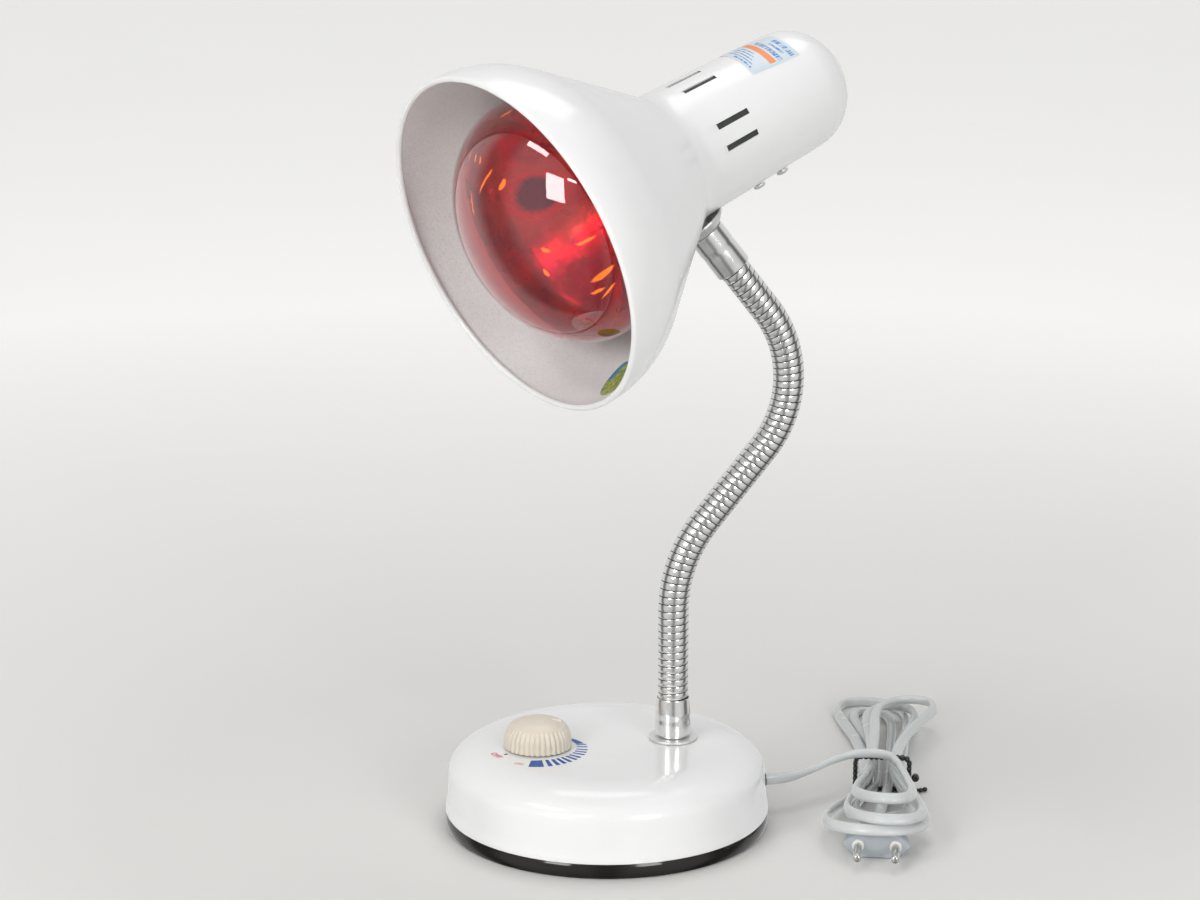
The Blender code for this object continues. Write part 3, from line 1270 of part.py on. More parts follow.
def plug_ring(form, depth, width, thickness, corner):
    half_width = width / 2.0
    half = thickness / 2.0
    inner = half_width - corner
    upper = [(half_width, 0.0), (inner, half), (-inner, half)]
    spots = upper + [(-x, -z) for x, z in upper]
    return [form.verts.new((x, depth, z)) for x, z in spots]


def make_plug(looks):
    """The flat six-sided plug, narrower at its rear, with its two pins and their collars."""
    frame = plug_frame()
    form = bmesh.new()
    rear_share = PLUG_REAR_WIDTH_SHARE
    front = plug_ring(form, 0.0, PLUG_WIDTH, PLUG_THICKNESS, PLUG_CORNER)
    rear_thickness = PLUG_THICKNESS * PLUG_REAR_THICKNESS_SHARE
    rear = plug_ring(form, PLUG_LENGTH, PLUG_WIDTH * rear_share, rear_thickness, PLUG_CORNER * rear_share)
    form.faces.new(front)
    form.faces.new(rear)
    for step in range(len(front)):
        after = (step + 1) % len(front)
        form.faces.new((front[step], front[after], rear[after], rear[step]))
    body = place(bpy.data.objects.new("plug_body", closed(form, "plug_body")), looks["cord"], frame)
    spots = [
        Matrix.Translation((sign * PIN_SPACING / 2.0, 0.0, 0.0)) @ Matrix.Rotation(math.pi / 2.0, 4, "X")
        for sign in (1.0, -1.0)
    ]
    collar = rod(COLLAR_RADIUS, -PIN_SEAT, COLLAR_LENGTH)
    seat = rod(PIN_RADIUS + GAP, -PIN_SEAT - GAP, COLLAR_LENGTH + OVERRUN)
    shaped(body, cluster("plug_collars", [(collar, SIDES_SMALL, spot) for spot in spots], frame), "UNION")
    shaped(body, cluster("plug_pin_holes", [(seat, SIDES_TINY, spot) for spot in spots], frame), "DIFFERENCE")
    nose = PIN_LENGTH - PIN_RADIUS / 2.0
    pin = rod(PIN_RADIUS, -PIN_SEAT, nose)[:-1] + [(PIN_RADIUS / 2.0, PIN_LENGTH), (0.0, PIN_LENGTH)]
    for number, spot in enumerate(spots, 1):
        turned(f"plug_pin_{number}", pin, SIDES_TINY, looks["zinc"], frame @ spot)
    return frame @ Vector((0.0, PLUG_LENGTH, 0.0)), frame.col[1].xyz


def make_cord(looks, exit_point):
    """The cord outside the base: free stretch, hank with its tie, and the lead into the plug."""
    hank = hank_route()
    spacing = 5.0 * CORD_RADIUS
    tube("cord_hank", hank, CORD_RADIUS, 1, looks["cord"])
    print(f"hank: least gap to itself {1000.0 * least_gap(hank, CORD_RADIUS):.2f} mm")
    make_tie(looks["black_plastic"])
    forward = Vector((1.0, 0.0, 0.0))
    into = (hank[1] - hank[0]).normalized()
    ends = [hank[0] - into * reach for reach in (2.0 * CORD_RADIUS, GAP)]
    free = smooth_route([exit_point + GAP * forward, *CORD_ROUTE, *ends], spacing)
    tube("power_cord", free, CORD_RADIUS, CORD_SIDES_RESOLUTION, looks["cord"])
    rear, back = make_plug(looks)
    out = (hank[-1] - hank[-2]).normalized()
    starts = [hank[-1] + out * reach for reach in (GAP, 2.0 * CORD_RADIUS)]
    ends = [rear + back * reach for reach in (2.0 * CORD_RADIUS, GAP)]
    route = smooth_route([*starts, *PLUG_LEAD_ROUTE, *ends], spacing)
    tube("plug_lead", route, CORD_RADIUS, 2, looks["cord"])


def make_looks():
    """One plain material for each kind of surface."""
    return {
        "white_plastic": material("white_plastic", (0.86, 0.87, 0.86), 0.35),
        "brown_plastic": material("brown_plastic", (0.03, 0.022, 0.018), 0.18),
        "black_plastic": material("black_plastic", (0.02, 0.02, 0.022), 0.4),
        "red_plastic": material("red_plastic", (0.45, 0.05, 0.03), 0.4),
        "ivory": material("ivory_plastic", (0.66, 0.61, 0.52), 0.4),
        "rubber": material("black_rubber", (0.02, 0.02, 0.02), 0.8),
        "iron": material("cast_iron", (0.12, 0.12, 0.12), 0.7, 0.9),
        "board": material("board", (0.35, 0.24, 0.10), 0.5),
        "copper": material("copper_wire", (0.60, 0.28, 0.12), 0.3, 0.9),
        "steel": material("steel", (0.55, 0.55, 0.56), 0.35, 1.0),
        "aluminium": material("aluminium", (0.75, 0.75, 0.76), 0.4, 1.0),
        "zinc": material("zinc_plate", (0.62, 0.62, 0.62), 0.35, 1.0),
        "chrome": material("chrome", (0.75, 0.75, 0.77), 0.12, 1.0),
        "brass": material("brass", (0.70, 0.55, 0.28), 0.3, 1.0),
        "paint": material("white_paint", (0.86, 0.86, 0.85), 0.3),
        "bulb": material("bulb_glass", (0.55, 0.03, 0.03), 0.1),
        "glass": material("clear_glass", (0.8, 0.85, 0.85), 0.05),
        "ceramic": material("ceramic", (0.86, 0.85, 0.80), 0.3),
        "cord": material("cord_vinyl", (0.62, 0.63, 0.63), 0.4),
        "lead": material("lead_silicone", (0.80, 0.78, 0.72), 0.5),
    }


def main():
    for obj in list(bpy.data.objects):
        bpy.data.objects.remove(obj)
    looks = make_looks()
    root = empty("lamp_base", Matrix.Identity(4))
    turned("base_pad", rod(PAD_RADIUS, 0.0, PAD_THICKNESS), SIDES_LARGE, looks["rubber"])
    make_pan(looks["brown_plastic"], looks["steel"])
    make_shell(looks["white_plastic"])
    make_ballast(looks["iron"])
    shaft_bottom, bushing_top = make_dimmer(looks)
    knob_axis = empty("knob_joint", KNOB_FRAME, root)
    make_knob(looks, knob_axis, shaft_bottom, bushing_top)
    make_board(looks)
    cord_exit = make_cord_entry(looks)
    make_neck_foot(looks)
    joints = make_neck(looks["chrome"], root)
    make_shade(looks["paint"], joints[-1])
    make_head_fitting(looks, joints[-1])
    contact_end = make_bulb(looks, joints[-1])
    make_socket(looks, joints[-1], contact_end)
    make_leads(looks, root)
    make_cord(looks, cord_exit)


main()
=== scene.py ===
"""The finished surfaces of an infrared heat therapy lamp, laid over the frame of its solids.

Metres, +Z up. The origin is the middle of the base's underside, with +X running from the knob to the neck.
"""

import math

import bmesh
import bpy
import numpy as np
from bpy.props import FloatProperty, FloatVectorProperty, IntProperty, PointerProperty
from mathutils import Matrix, Vector


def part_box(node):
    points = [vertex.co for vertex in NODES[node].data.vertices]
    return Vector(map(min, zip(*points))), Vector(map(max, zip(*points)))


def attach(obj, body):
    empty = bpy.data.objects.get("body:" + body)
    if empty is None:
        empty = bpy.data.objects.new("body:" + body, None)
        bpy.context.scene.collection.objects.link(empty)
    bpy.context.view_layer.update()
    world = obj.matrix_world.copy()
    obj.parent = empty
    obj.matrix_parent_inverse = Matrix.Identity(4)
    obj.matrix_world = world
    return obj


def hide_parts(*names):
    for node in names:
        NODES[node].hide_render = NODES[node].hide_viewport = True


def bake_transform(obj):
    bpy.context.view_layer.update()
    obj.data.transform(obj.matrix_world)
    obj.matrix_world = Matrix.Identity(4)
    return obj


bl_info = {
    "name": "Heat Therapy Lamp",
    "version": (1, 0, 0),
    "blender": (4, 5, 0),
    "location": "View3D > Sidebar > Heat Lamp",
    "description": "Makes the finished pieces of a heat therapy lamp on its frame",
    "category": "Add Mesh",
}

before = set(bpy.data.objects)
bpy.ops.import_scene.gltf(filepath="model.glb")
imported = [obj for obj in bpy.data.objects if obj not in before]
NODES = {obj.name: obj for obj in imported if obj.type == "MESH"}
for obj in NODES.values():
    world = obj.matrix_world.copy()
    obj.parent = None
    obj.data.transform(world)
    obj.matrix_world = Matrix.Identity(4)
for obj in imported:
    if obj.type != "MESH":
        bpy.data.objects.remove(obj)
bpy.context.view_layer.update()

# Clearances and mesh fineness
GAP = 0.0003
INK_LIFT = 0.00006
INK_THICKNESS = 0.00004
WELD = 0.0000002
SHARP = math.radians(38.0)
SIDES_LARGE = 160
SIDES_MEDIUM = 72
SIDES_SMALL = 32
CORNER_STEPS = 5
QUARTER = math.pi / 2.0
WHOLE = 2.0 * math.pi

# Base
BASE_RADIUS = 0.082
PAN_LIFT = 0.0005
PAN_FLOOR_TOP = 0.0048
PAN_SKIRT_TOP = 0.0075
PAN_BULGE = 0.0008
PAN_RECESS_RADIUS = 0.0775
PAD_TOP = 0.0023
SHELL_WALL = 0.0022
SHELL_FOOT_HEIGHT = 0.0017
SHELL_WAIST_HEIGHT = 0.014
SHELL_WAIST_INSET = 0.001
SHELL_SHOULDER_HEIGHT = 0.028
SHELL_SHOULDER_INSET = 0.0018
SHELL_TOP = 0.0418
SHELL_FLAT_RADIUS = 0.054
SHELL_SPACING = 0.002
SHELL_CORNER_STEPS = 20
PAN_ROWS = 15
PAN_RECESS_EDGE = 0.001

# Knob
KNOB_OFFSET = 0.0355
KNOB_BOTTOM = 0.0427
KNOB_RADIUS = 0.0172
KNOB_HEIGHT = 0.0144
KNOB_FLUTES = 36
KNOB_STEPS = 10
KNOB_REST_TURN = math.radians(-10.0)
KNOB_WALL = 0.0025
KNOB_CAVITY_HEIGHT = 0.0075
POINTER_LENGTH = 0.005
POINTER_WIDTH = 0.0013
POINTER_DISTANCE = 0.0095
POINTER_HEIGHT_SHARE = 0.93
POINTER_LEAN = math.radians(13.0)
POINTER_SIDES = 24
# Share of the mark's radius, and height from its seat
POINTER_SHARES = ((1.0, -0.0012), (1.0, 0.0002), (0.8, 0.00042), (0.4, 0.0005))
KNOB_CREST = 1.2
KNOB_SHARP = math.radians(50.0)
KNOB_SMOOTH_STEPS = 4
# Radius share, height share and share of the flutes' depth at each height of the knob
KNOB_SHARES = (
    (0.985, 0.0, 1.0),
    (1.0, 0.03, 1.0),
    (0.977, 0.39, 1.0),
    (0.924, 0.555, 0.9),
    (0.872, 0.68, 0.65),
    (0.82, 0.755, 0.2),
    (0.75, 0.805, 0.0),
    (0.52, 0.925, 0.0),
    (0.26, 0.985, 0.0),
    (0.0, 1.0, 0.0),
)

# Neck and its two ends
NECK_OFFSET = 0.0342
FERRULE_BOTTOM = 0.0436
FERRULE_LENGTH = 0.0204
FERRULE_RADIUS = 0.0091
FERRULE_TOP_RADIUS = 0.0084
FERRULE_RECESS_RADIUS = 0.0079
FERRULE_RECESS_HEIGHT = 0.0012
FERRULE_CRIMP_SHARE = 0.48
FERRULE_CRIMP_WIDTH = 0.0028
FERRULE_CRIMP_DEPTH = 0.0002
FERRULE_MOUTH_RADIUS = 0.0079
FERRULE_MOUTH_DEPTH = 0.006
UPPER_FERRULE_LENGTH = 0.0235
UPPER_FERRULE_RADIUS = 0.0092
BORE_RADIUS = 0.0053
FOOT_WASHER_RADIUS = 0.0124
FOOT_WASHER_THICKNESS = 0.0012
RIB_PITCH = 0.0036
RIB_RADIUS = 0.00775
RIB_ROOT_RADIUS = 0.0070
NECK_SECTION_RIBS = 7
NECK_FLEX_RIBS = 3
NECK_BENDS = 6
NECK_RIBS = [NECK_SECTION_RIBS] + [NECK_FLEX_RIBS, NECK_SECTION_RIBS] * NECK_BENDS
NECK_LENGTH = sum(NECK_RIBS) * RIB_PITCH + (len(NECK_RIBS) + 1) * GAP
NECK_LOWER_BEND = math.radians(39.0)
NECK_UPPER_BEND = math.radians(-77.0)
NECK_RUNS = (
    (0.046, 0.0),
    (0.073 * NECK_LOWER_BEND, NECK_LOWER_BEND),
    (0.046, 0.0),
    (0.057 * -NECK_UPPER_BEND, NECK_UPPER_BEND),
)
# Share of the winding's pitch and share of the groove's depth across one band of the hose
BAND_SHARES = ((0.0, 1.0), (0.045, 0.95), (0.07, 0.16), (0.14, 0.02), (0.5, 0.0), (0.88, 0.02), (0.95, 0.16))

HOSE_SIDES = 36
# Where the winding starts and ends, in pitches from the ends of the neck
HOSE_START_SHARE = -0.75
HOSE_END_SHARE = 0.5

# Head
HEAD_REACH = 0.065
HEAD_DEPTH = 0.0915
HEAD_TILT = math.radians(15.5)
HEAD_SWIVEL = math.radians(26.4)
HEAD_FITTING_TURN = -8.0
SHADE_RADIUS = 0.0869
SHADE_WALL = 0.0008
SHADE_BEAD_RADIUS = 0.0015
SHADE_LIP = 0.004
SHADE_DISH_RADIUS = 0.058
SHADE_SLOPE = math.radians(35.5)
SHADE_FILLET = 0.024
HOUSING_RADIUS = 0.0335
HOUSING_END_RADIUS = 0.031
HOUSING_LENGTH = 0.079
HOUSING_STRAIGHT_END = 0.1832
HOUSING_START = 0.098
HOUSING_ROUNDING = 0.025
HOUSING_TAPER = math.atan((HOUSING_RADIUS - HOUSING_END_RADIUS) / HOUSING_LENGTH)
VENT_LENGTH = 0.0225
VENT_WIDTH = 0.003
VENT_START = 0.111
VENT_PAIR_ANGLES = (-96.75, -32.25, 32.25, 96.75)
VENT_HALF_SPACING = 10.0
SCREW_DEPTHS = (0.140, 0.156)
SCREW_HEAD_RADIUS = 0.0032
SCREW_HEAD_HEIGHT = 0.0018
SCREW_SHANK_RADIUS = 0.0016
SCREW_SHANK_LENGTH = 0.0033

# Bulb
BULB_RADIUS = 0.0623
BULB_FRONT_DEPTH = 0.0445
BULB_FRONT = -0.0125
BULB_GLASS = 0.001
BULB_SHOULDER_RADIUS = 0.018
BULB_SLOPE = math.radians(38.5)
BULB_NECK_RADIUS = 0.020
BULB_NECK_END = 0.132
BULB_COLLAR_START = 0.142
BULB_COLLAR_END = 0.147
BULB_COLLAR_RADIUS = 0.0123
BULB_SIDES = 128
BULB_WINDOW_BACK = 0.010
MIRROR_START = 0.017
MIRROR_SIDES = 180
MIRROR_SMOOTH_STEPS = 3
CRINKLE_SEED = 7
CRINKLE_COUNT = 14
# Waves round the mirror, turns along each metre of it and start of a crinkle: the least and the most
CRINKLE_LEAST = (3.0, 20.0, 0.0)
CRINKLE_MOST = (26.0, 260.0, WHOLE)
# Decimetres of the mirror's map to a turn of one radian
WRAP_RADIUS = 0.57
# Angle and depth (mm) of a painted reflection on the mirror: a dark disc in a bright red ring
MIRROR_PAINTED_DISC = (-76.0, 55.0)
# Softness and glow strength of the painted glints: orange highlights that glow on the mirror
GLINT_SOFTNESS = 0.3
GLINT_STRENGTH = 1.45
# Each painted glint on the mirror, where a fold would flare orange: angle, depth, length and width (mm) and
# lean from straight across (degrees)
PAINTED_GLINTS = (
    (12.7, 24.0, 7.0, 1.4, 42.0),
    (-61.5, 34.4, 14.0, 1.8, 49.0),
    (-66.0, 42.8, 7.0, 2.2, 27.0),
    (-67.6, 23.1, 14.0, 1.0, 8.0),
    (-41.2, 25.3, 6.0, 1.0, 21.0),
    (-45.7, 30.0, 6.0, 1.0, 16.0),
    (-48.7, 33.0, 5.5, 1.0, 17.0),
    (-117.5, 62.3, 10.0, 2.6, 121.0),
    (-106.7, 47.7, 5.5, 1.8, 151.0),
    (-143.3, 57.3, 15.0, 4.4, 129.0),
    (-146.7, 50.4, 9.0, 2.0, 138.0),
    (-154.0, 52.3, 9.0, 2.2, 117.0),
    (-173.5, 43.7, 10.0, 1.6, 155.0),
    (-116.2, 42.0, 4.5, 1.6, 170.0),
)

# Lead from the base to the socket
LEAD_RADIUS = 0.0015
LEAD_HEIGHT = 0.018
LEAD_START_X = 0.0437
LEAD_RISE_TO = 0.030
LEAD_CORNER = 0.006
LEAD_NIPPLE_START = 0.015
LEAD_RING_RADIUS = 0.0235
LEAD_END_DEPTH = 0.1785
LEAD_END_RADIUS = 0.0153
LEAD_STEPS = 6
LEAD_SIDES = 12
LEAD_SPAN_STEPS = 14

# Mains cord, its hank and its tie
CORD_CORE_RADIUS = 0.0025
CORD_EXIT = (0.0828, 0.0, 0.016)
CORD_INSIDE = ((0.0590, 0.0, 0.0158), (0.0680, 0.0, 0.0159), (0.0760, 0.0, 0.016))
CORD_ROUTE = (
    (0.0885, 0.0002, 0.0159),
    (0.098, 0.0025, 0.0158),
    (0.110, 0.0075, 0.0170),
    (0.122, 0.0125, 0.0192),
    (0.134, 0.0145, 0.0211),
    (0.1445, 0.0115, 0.0218),
    (0.1510, 0.0050, 0.0218),
)
PLUG_LEAD_ROUTE = (
    (0.1435, -0.0125, 0.0062),
    (0.1375, -0.0270, 0.0085),
)
CORD_SPACING = 0.0012
CORD_SIDES = 20
CORD_ROUNDNESS = 0.8
CORD_DIP = 0.05
CORD_DIP_WIDTH = 0.2
# Metres along the cord, and its turn about itself in degrees
CORD_TURNS = ((0.0, 90.0), (0.030, 90.0), (0.055, 25.0), (0.085, 55.0), (0.115, 70.0), (0.16, 45.0))
CORD_ROLL = 30.0
CORD_ROLL_START = 0.16
CORD_ROLL_PITCH = 0.23
CORD_ROLL_EASE = 0.05
HANK_WAIST = (0.149, 0.013)
HANK_TURN = math.radians(72.0)
HANK_LENGTH = 0.108
HANK_WIDTH = 0.050
HANK_STEP = 0.0055
HANK_COLUMN = 0.003
HANK_FRONT_SWELL = 1.3
HANK_REAR_SWELL = 3.0
HANK_POINTS = 12
TIE_THICKNESS = 0.001
TIE_WIDTH = 0.003
TIE_SLACK = 0.0006
TIE_TAIL = 0.007
TIE_HEAD = 0.004
TIE_BEAD_SPACING = 0.0027
TIE_BEAD_STRETCH = 1.15
TIE_TAIL_BEND = 0.002
TIE_TAIL_BEND_SHARE = 0.6
TIE_CORE_SHARE = 0.5
TIE_CORE_SIDES = 8
TIE_HEAD_SIDES = 16
TIE_HEAD_ROUNDING = 0.001
TIE_HEAD_STEPS = 4
# Each lobe in turn: its share of the length (less than zero runs to the front), its share of the width,
# its fan in degrees and the layers that its tip lies above the table
HANK_LOBE_SHARES = (
    (-0.80, 0.42, 4.0, 4.7),
    (0.98, 0.70, 7.0, 2.3),
    (-0.93, 0.62, 4.0, 3.7),
    (1.04, 0.60, 1.0, 1.15),
    (-0.93, 0.86, 0.0, 2.6),
    (1.26, 0.84, -6.0, 0.0),
    (-0.42, 0.40, 0.0, 0.0),
    (1.12, 0.52, -6.0, 0.0),
)
# Where the cord passes the waist in turn: columns out from the middle one, and layers up from the tie
HANK_SLOT_SHARES = (
    (0.6, 3.2),
    (0.6, 2.0),
    (0.6, 2.0),
    (0.6, 1.0),
    (0.6, 1.0),
    (1.2, 0.0),
    (1.2, 0.0),
    (0.0, 0.0),
    (0.0, 0.0),
)
GROMMET_RADIUS = 0.0042
GROMMET_BODY_RADIUS = 0.0036
GROMMET_FLANGE = 0.001
GROMMET_BODY_LENGTH = 0.0022

# Plug
PLUG_WIDTH = 0.0353
PLUG_THICKNESS = 0.0137
PLUG_LENGTH = 0.034
PLUG_FACE = (0.1205, -0.0780)
PLUG_TURN = math.radians(-17.0)
PLUG_CORNER = 0.0075
PLUG_ROUNDING = 0.0022
PIN_RADIUS = 0.002
PIN_LENGTH = 0.019
PIN_SPACING = 0.0185
PIN_SEAT = 0.004
PIN_ROUNDING = 0.0014
COLLAR_RADIUS = 0.0031
COLLAR_LENGTH = 0.0015
COLLAR_ROUNDING = 0.0005
# Share of the plug's length, of its width and of its thickness, and of its corners' cut, ring by ring
PLUG_SHARES = (
    (0.0, 0.955, 0.90, 1.0),
    (0.012, 0.978, 0.945, 1.0),
    (0.04, 1.0, 1.0, 1.0),
    (0.30, 0.925, 0.97, 0.9),
    (0.60, 0.70, 0.86, 0.7),
    (0.85, 0.50, 0.76, 0.5),
    (0.97, 0.42, 0.72, 0.42),
    (0.99, 0.40, 0.68, 0.40),
    (1.0, 0.36, 0.60, 0.36),
)

# Camera: its place, its turn about the vertical and how far it looks down
CAMERA_SPOT = (-0.2974, -1.5119, 0.590)
CAMERA_TURN = math.radians(11.0)
CAMERA_DOWN = math.radians(14.39)
CAMERA_LENS = 96.39
CAMERA_SENSOR = 36.0
CAMERA_NEAR = 0.05
CAMERA_FAR = 50.0
FLOOR_REACH = 14.0
FLOOR_POINTS = 9
# The floor's glow in what the camera sees: strength, metres from the lamp where it starts and is full,
# and how far in front of the lamp it has ended and is whole
FLOOR_GLOW = 0.36
FLOOR_GLOW_SPAN = (0.25, 1.3)
FLOOR_FRONT_SPAN = (-1.0, -0.4)
AMBIENT = 0.50
SURROUND = (0.86, 0.86, 0.85, 1.0)
CEILING_START = 0.8
CEILING_BRIGHTNESS = 0.9
UNDERSIDE_START = -0.35
# What shiny surfaces see round about: degrees to the right of the camera, seen from the lamp, and brightness
ROOM = (
    (-180.0, 0.95),
    (-116.0, 0.95),
    (-104.0, 0.25),
    (-88.0, 0.25),
    (-76.0, 0.85),
    (-50.0, 0.95),
    (-38.0, 0.80),
    (-14.0, 0.75),
    (-4.0, 0.38),
    (6.0, 0.38),
    (16.0, 0.85),
    (44.0, 0.95),
    (70.0, 0.80),
    (82.0, 0.20),
    (100.0, 0.20),
    (114.0, 0.90),
    (180.0, 0.95),
)
# Each light: name, place, what it is aimed at, width and height, power and colour
LIGHTS = (
    ("left_window", (-1.42, -1.41, 0.89), (-0.04, -0.075, 0.34), (0.64, 0.80), 14.0, (1.0, 0.99, 0.98)),
    ("right_window", (0.65, -2.00, 0.80), (0.0, 0.0, 0.2), (0.64, 0.80), 12.5, (0.98, 0.99, 1.0)),
    ("left_ceiling", (-1.11, -0.39, 1.51), (-0.045, -0.06, 0.36), (0.62, 0.22), 3.4, (1.0, 1.0, 1.0)),
    ("front_ceiling", (-0.73, -1.51, 1.19), (-0.03, -0.08, 0.34), (0.30, 0.08), 0.9, (1.0, 1.0, 1.0)),
    ("rear_ceiling", (0.3, 0.7, 1.9), (0.05, 0.0, 0.2), (1.2, 0.8), 5.2, (1.0, 1.0, 1.0)),
)


class LampSizes(bpy.types.PropertyGroup):
    """Sizes of the lamp's visible pieces."""

    flute_count: IntProperty(
        name="Knob flutes", description="Number of flutes round the knob", default=KNOB_FLUTES, min=8, max=72
    )
    flute_depth: FloatProperty(
        name="Flute depth", description="Depth of the knob's flutes", default=0.0009, unit="LENGTH"
    )
    cord_width: FloatProperty(
        name="Cord width", description="Width of the flat mains cord", default=0.0058, unit="LENGTH"
    )
    cord_thickness: FloatProperty(
        name="Cord thickness", description="Thickness of the flat mains cord", default=0.0039, unit="LENGTH"
    )
    bead_radius: FloatProperty(
        name="Tie bead", description="Radius of the beads on the hank's tie", default=0.0013, unit="LENGTH"
    )
    groove_depth: FloatProperty(
        name="Hose groove",
        description="Depth of the groove between the hose's bands",
        default=RIB_RADIUS - RIB_ROOT_RADIUS,
        unit="LENGTH",
    )
    crinkle_depth: FloatProperty(
        name="Reflector crinkle",
        description="Depth of the reflector's crinkles",
        default=0.0003,
        unit="LENGTH",
    )


def colour_setting(label, words, value):
    return FloatVectorProperty(
        name=label, description=words, default=value, subtype="COLOR", size=3, min=0.0, max=1.0
    )


class LampColours(bpy.types.PropertyGroup):
    """Colours of the lamp's finishes."""

    enamel: colour_setting("Enamel", "Enamel of the shade", (0.87, 0.875, 0.87))
    lining: colour_setting("Lining", "Inside of the shade", (0.94, 0.93, 0.92))
    moulding: colour_setting("Moulding", "Plastic of the base", (0.87, 0.875, 0.87))
    skirt: colour_setting("Skirt", "Dark plastic under the base", (0.010, 0.007, 0.006))
    ivory: colour_setting("Knob", "Plastic of the knob", (0.74, 0.67, 0.56))
    cord: colour_setting("Cord", "Vinyl of the cord", (0.62, 0.64, 0.64))
    plug: colour_setting("Plug", "Vinyl of the plug", (0.44, 0.48, 0.51))
    glass: colour_setting("Bulb", "Red glass of the bulb", (0.90, 0.25, 0.27))
    dial_blue: colour_setting("Dial blue", "Printed scale", (0.005, 0.10, 0.42))
    dial_red: colour_setting("Dial red", "Printed word", (0.75, 0.12, 0.14))
    floor: colour_setting("Floor", "Floor of the stage", (0.80, 0.79, 0.77))


# Materials


EVEN = (1.0, 1.0, 1.0)


def shaded(colour, share):
    """A share of a colour's brightness."""
    return tuple(share * part for part in colour)


class Tree:
    """A tree of shader nodes, with short ways to add to it."""

    def __init__(self, tree):
        self.tree = tree

    def node(self, kind, **settings):
        fresh = self.tree.nodes.new(kind)
        for label, value in settings.items():
            setattr(fresh, label, value)
        return fresh

    def link(self, output, target):
        self.tree.links.new(output, target)

    def math(self, operation, first, second):
        fresh = self.node("ShaderNodeMath", operation=operation)
        for socket, value in zip(fresh.inputs, (first, second)):
            if isinstance(value, float):
                socket.default_value = value
            else:
                self.link(value, socket)
        return fresh.outputs["Value"]

    def parts(self, place):
        """The X, Y and Z of a place or a direction."""
        fresh = self.node("ShaderNodeSeparateXYZ")
        self.link(place, fresh.inputs["Vector"])
        return fresh.outputs["X"], fresh.outputs["Y"], fresh.outputs["Z"]

    def choose(self, share, first, second):
        """The second shader where the share is one, and the first where it is zero."""
        fresh = self.node("ShaderNodeMixShader")
        for socket, source in zip(fresh.inputs, (share, first, second)):
            self.link(source, socket)
        return fresh.outputs["Shader"]


class Finish(Tree):
    """A material on the Principled shader, with detail from noise in the object's own metres."""

    def __init__(self, name, colour, roughness, metallic=0.0, **sockets):
        self.material = bpy.data.materials.new(name)
        self.material.use_nodes = True
        super().__init__(self.material.node_tree)
        self.shader = self.tree.nodes["Principled BSDF"]
        self.colour = colour
        self.roughness = roughness
        self.place = self.node("ShaderNodeTexCoord").outputs["Object"]
        self.shader.inputs["Base Color"].default_value = (*colour, 1.0)
        self.shader.inputs["Roughness"].default_value = roughness
        self.shader.inputs["Metallic"].default_value = metallic
        for label, value in sockets.items():
            self.shader.inputs[label.replace("_", " ")].default_value = value

    def noise(self, scale, detail=3.0, stretch=EVEN):
        """Noise with features about 1/scale metres across."""
        mapping = self.node("ShaderNodeMapping")
        mapping.inputs["Scale"].default_value = stretch
        self.link(self.place, mapping.inputs["Vector"])
        fresh = self.node("ShaderNodeTexNoise")
        fresh.inputs["Scale"].default_value = scale
        fresh.inputs["Detail"].default_value = detail
        fresh.inputs["Roughness"].default_value = 0.5
        self.link(mapping.outputs["Vector"], fresh.inputs["Vector"])
        return fresh.outputs["Fac"]

    def flat_noise(self, place, scale, detail, shift=0.0):
        """Noise over a flat map, scaled across and along and moved sideways."""
        mapping = self.node("ShaderNodeMapping")
        mapping.inputs["Scale"].default_value = (*scale, 1.0)
        mapping.inputs["Location"].default_value = (shift, 0.0, 0.0)
        self.link(place, mapping.inputs["Vector"])
        fresh = self.node("ShaderNodeTexNoise", noise_dimensions="2D")
        fresh.inputs["Scale"].default_value = 1.0
        fresh.inputs["Detail"].default_value = detail
        self.link(mapping.outputs["Vector"], fresh.inputs["Vector"])
        return fresh.outputs["Fac"]

    def spread(self, source, low, high, start=0.0, end=1.0):
        """A value taken from a range of the source to another range."""
        fresh = self.node("ShaderNodeMapRange")
        fresh.inputs["From Min"].default_value = start
        fresh.inputs["From Max"].default_value = end
        fresh.inputs["To Min"].default_value = low
        fresh.inputs["To Max"].default_value = high
        self.link(source, fresh.inputs["Value"])
        return fresh.outputs["Result"]

    def mix(self, share, first, second):
        """A colour between two others."""
        fresh = self.node("ShaderNodeMix", data_type="RGBA")
        self.link(share, fresh.inputs["Factor"])
        for socket, value in ((fresh.inputs["A"], first), (fresh.inputs["B"], second)):
            if isinstance(value, tuple):
                socket.default_value = (*value, 1.0)
            else:
                self.link(value, socket)
        return fresh.outputs["Result"]

    def paint(self, colour):
        self.link(colour, self.shader.inputs["Base Color"])
        return self

    def mottled(self, scale, amount):
        """Slight changes of the colour from place to place."""
        share = self.spread(self.noise(scale), 0.0, 1.0, 0.3, 0.7)
        return self.paint(self.mix(share, shaded(self.colour, 1.0 - amount), self.colour))

    def polished(self, scale, amount, stretch=EVEN):
        """Handling and wear: the gloss changes from place to place."""
        low = max(self.roughness - amount, 0.02)
        high = self.roughness + amount
        share = self.noise(scale, 4.0, stretch)
        self.link(self.spread(share, low, high, 0.3, 0.7), self.shader.inputs["Roughness"])
        return self

    def bumped(self, height, distance, strength):
        """An unevenness of the surface, as deep as the distance."""
        fresh = self.node("ShaderNodeBump")
        fresh.inputs["Distance"].default_value = distance
        fresh.inputs["Strength"].default_value = strength
        self.link(height, fresh.inputs["Height"])
        self.link(fresh.outputs["Normal"], self.shader.inputs["Normal"])
        return self

    def rippled(self, scale, distance, strength, stretch=EVEN):
        """A fine unevenness from noise."""
        return self.bumped(self.noise(scale, 3.0, stretch), distance, strength)


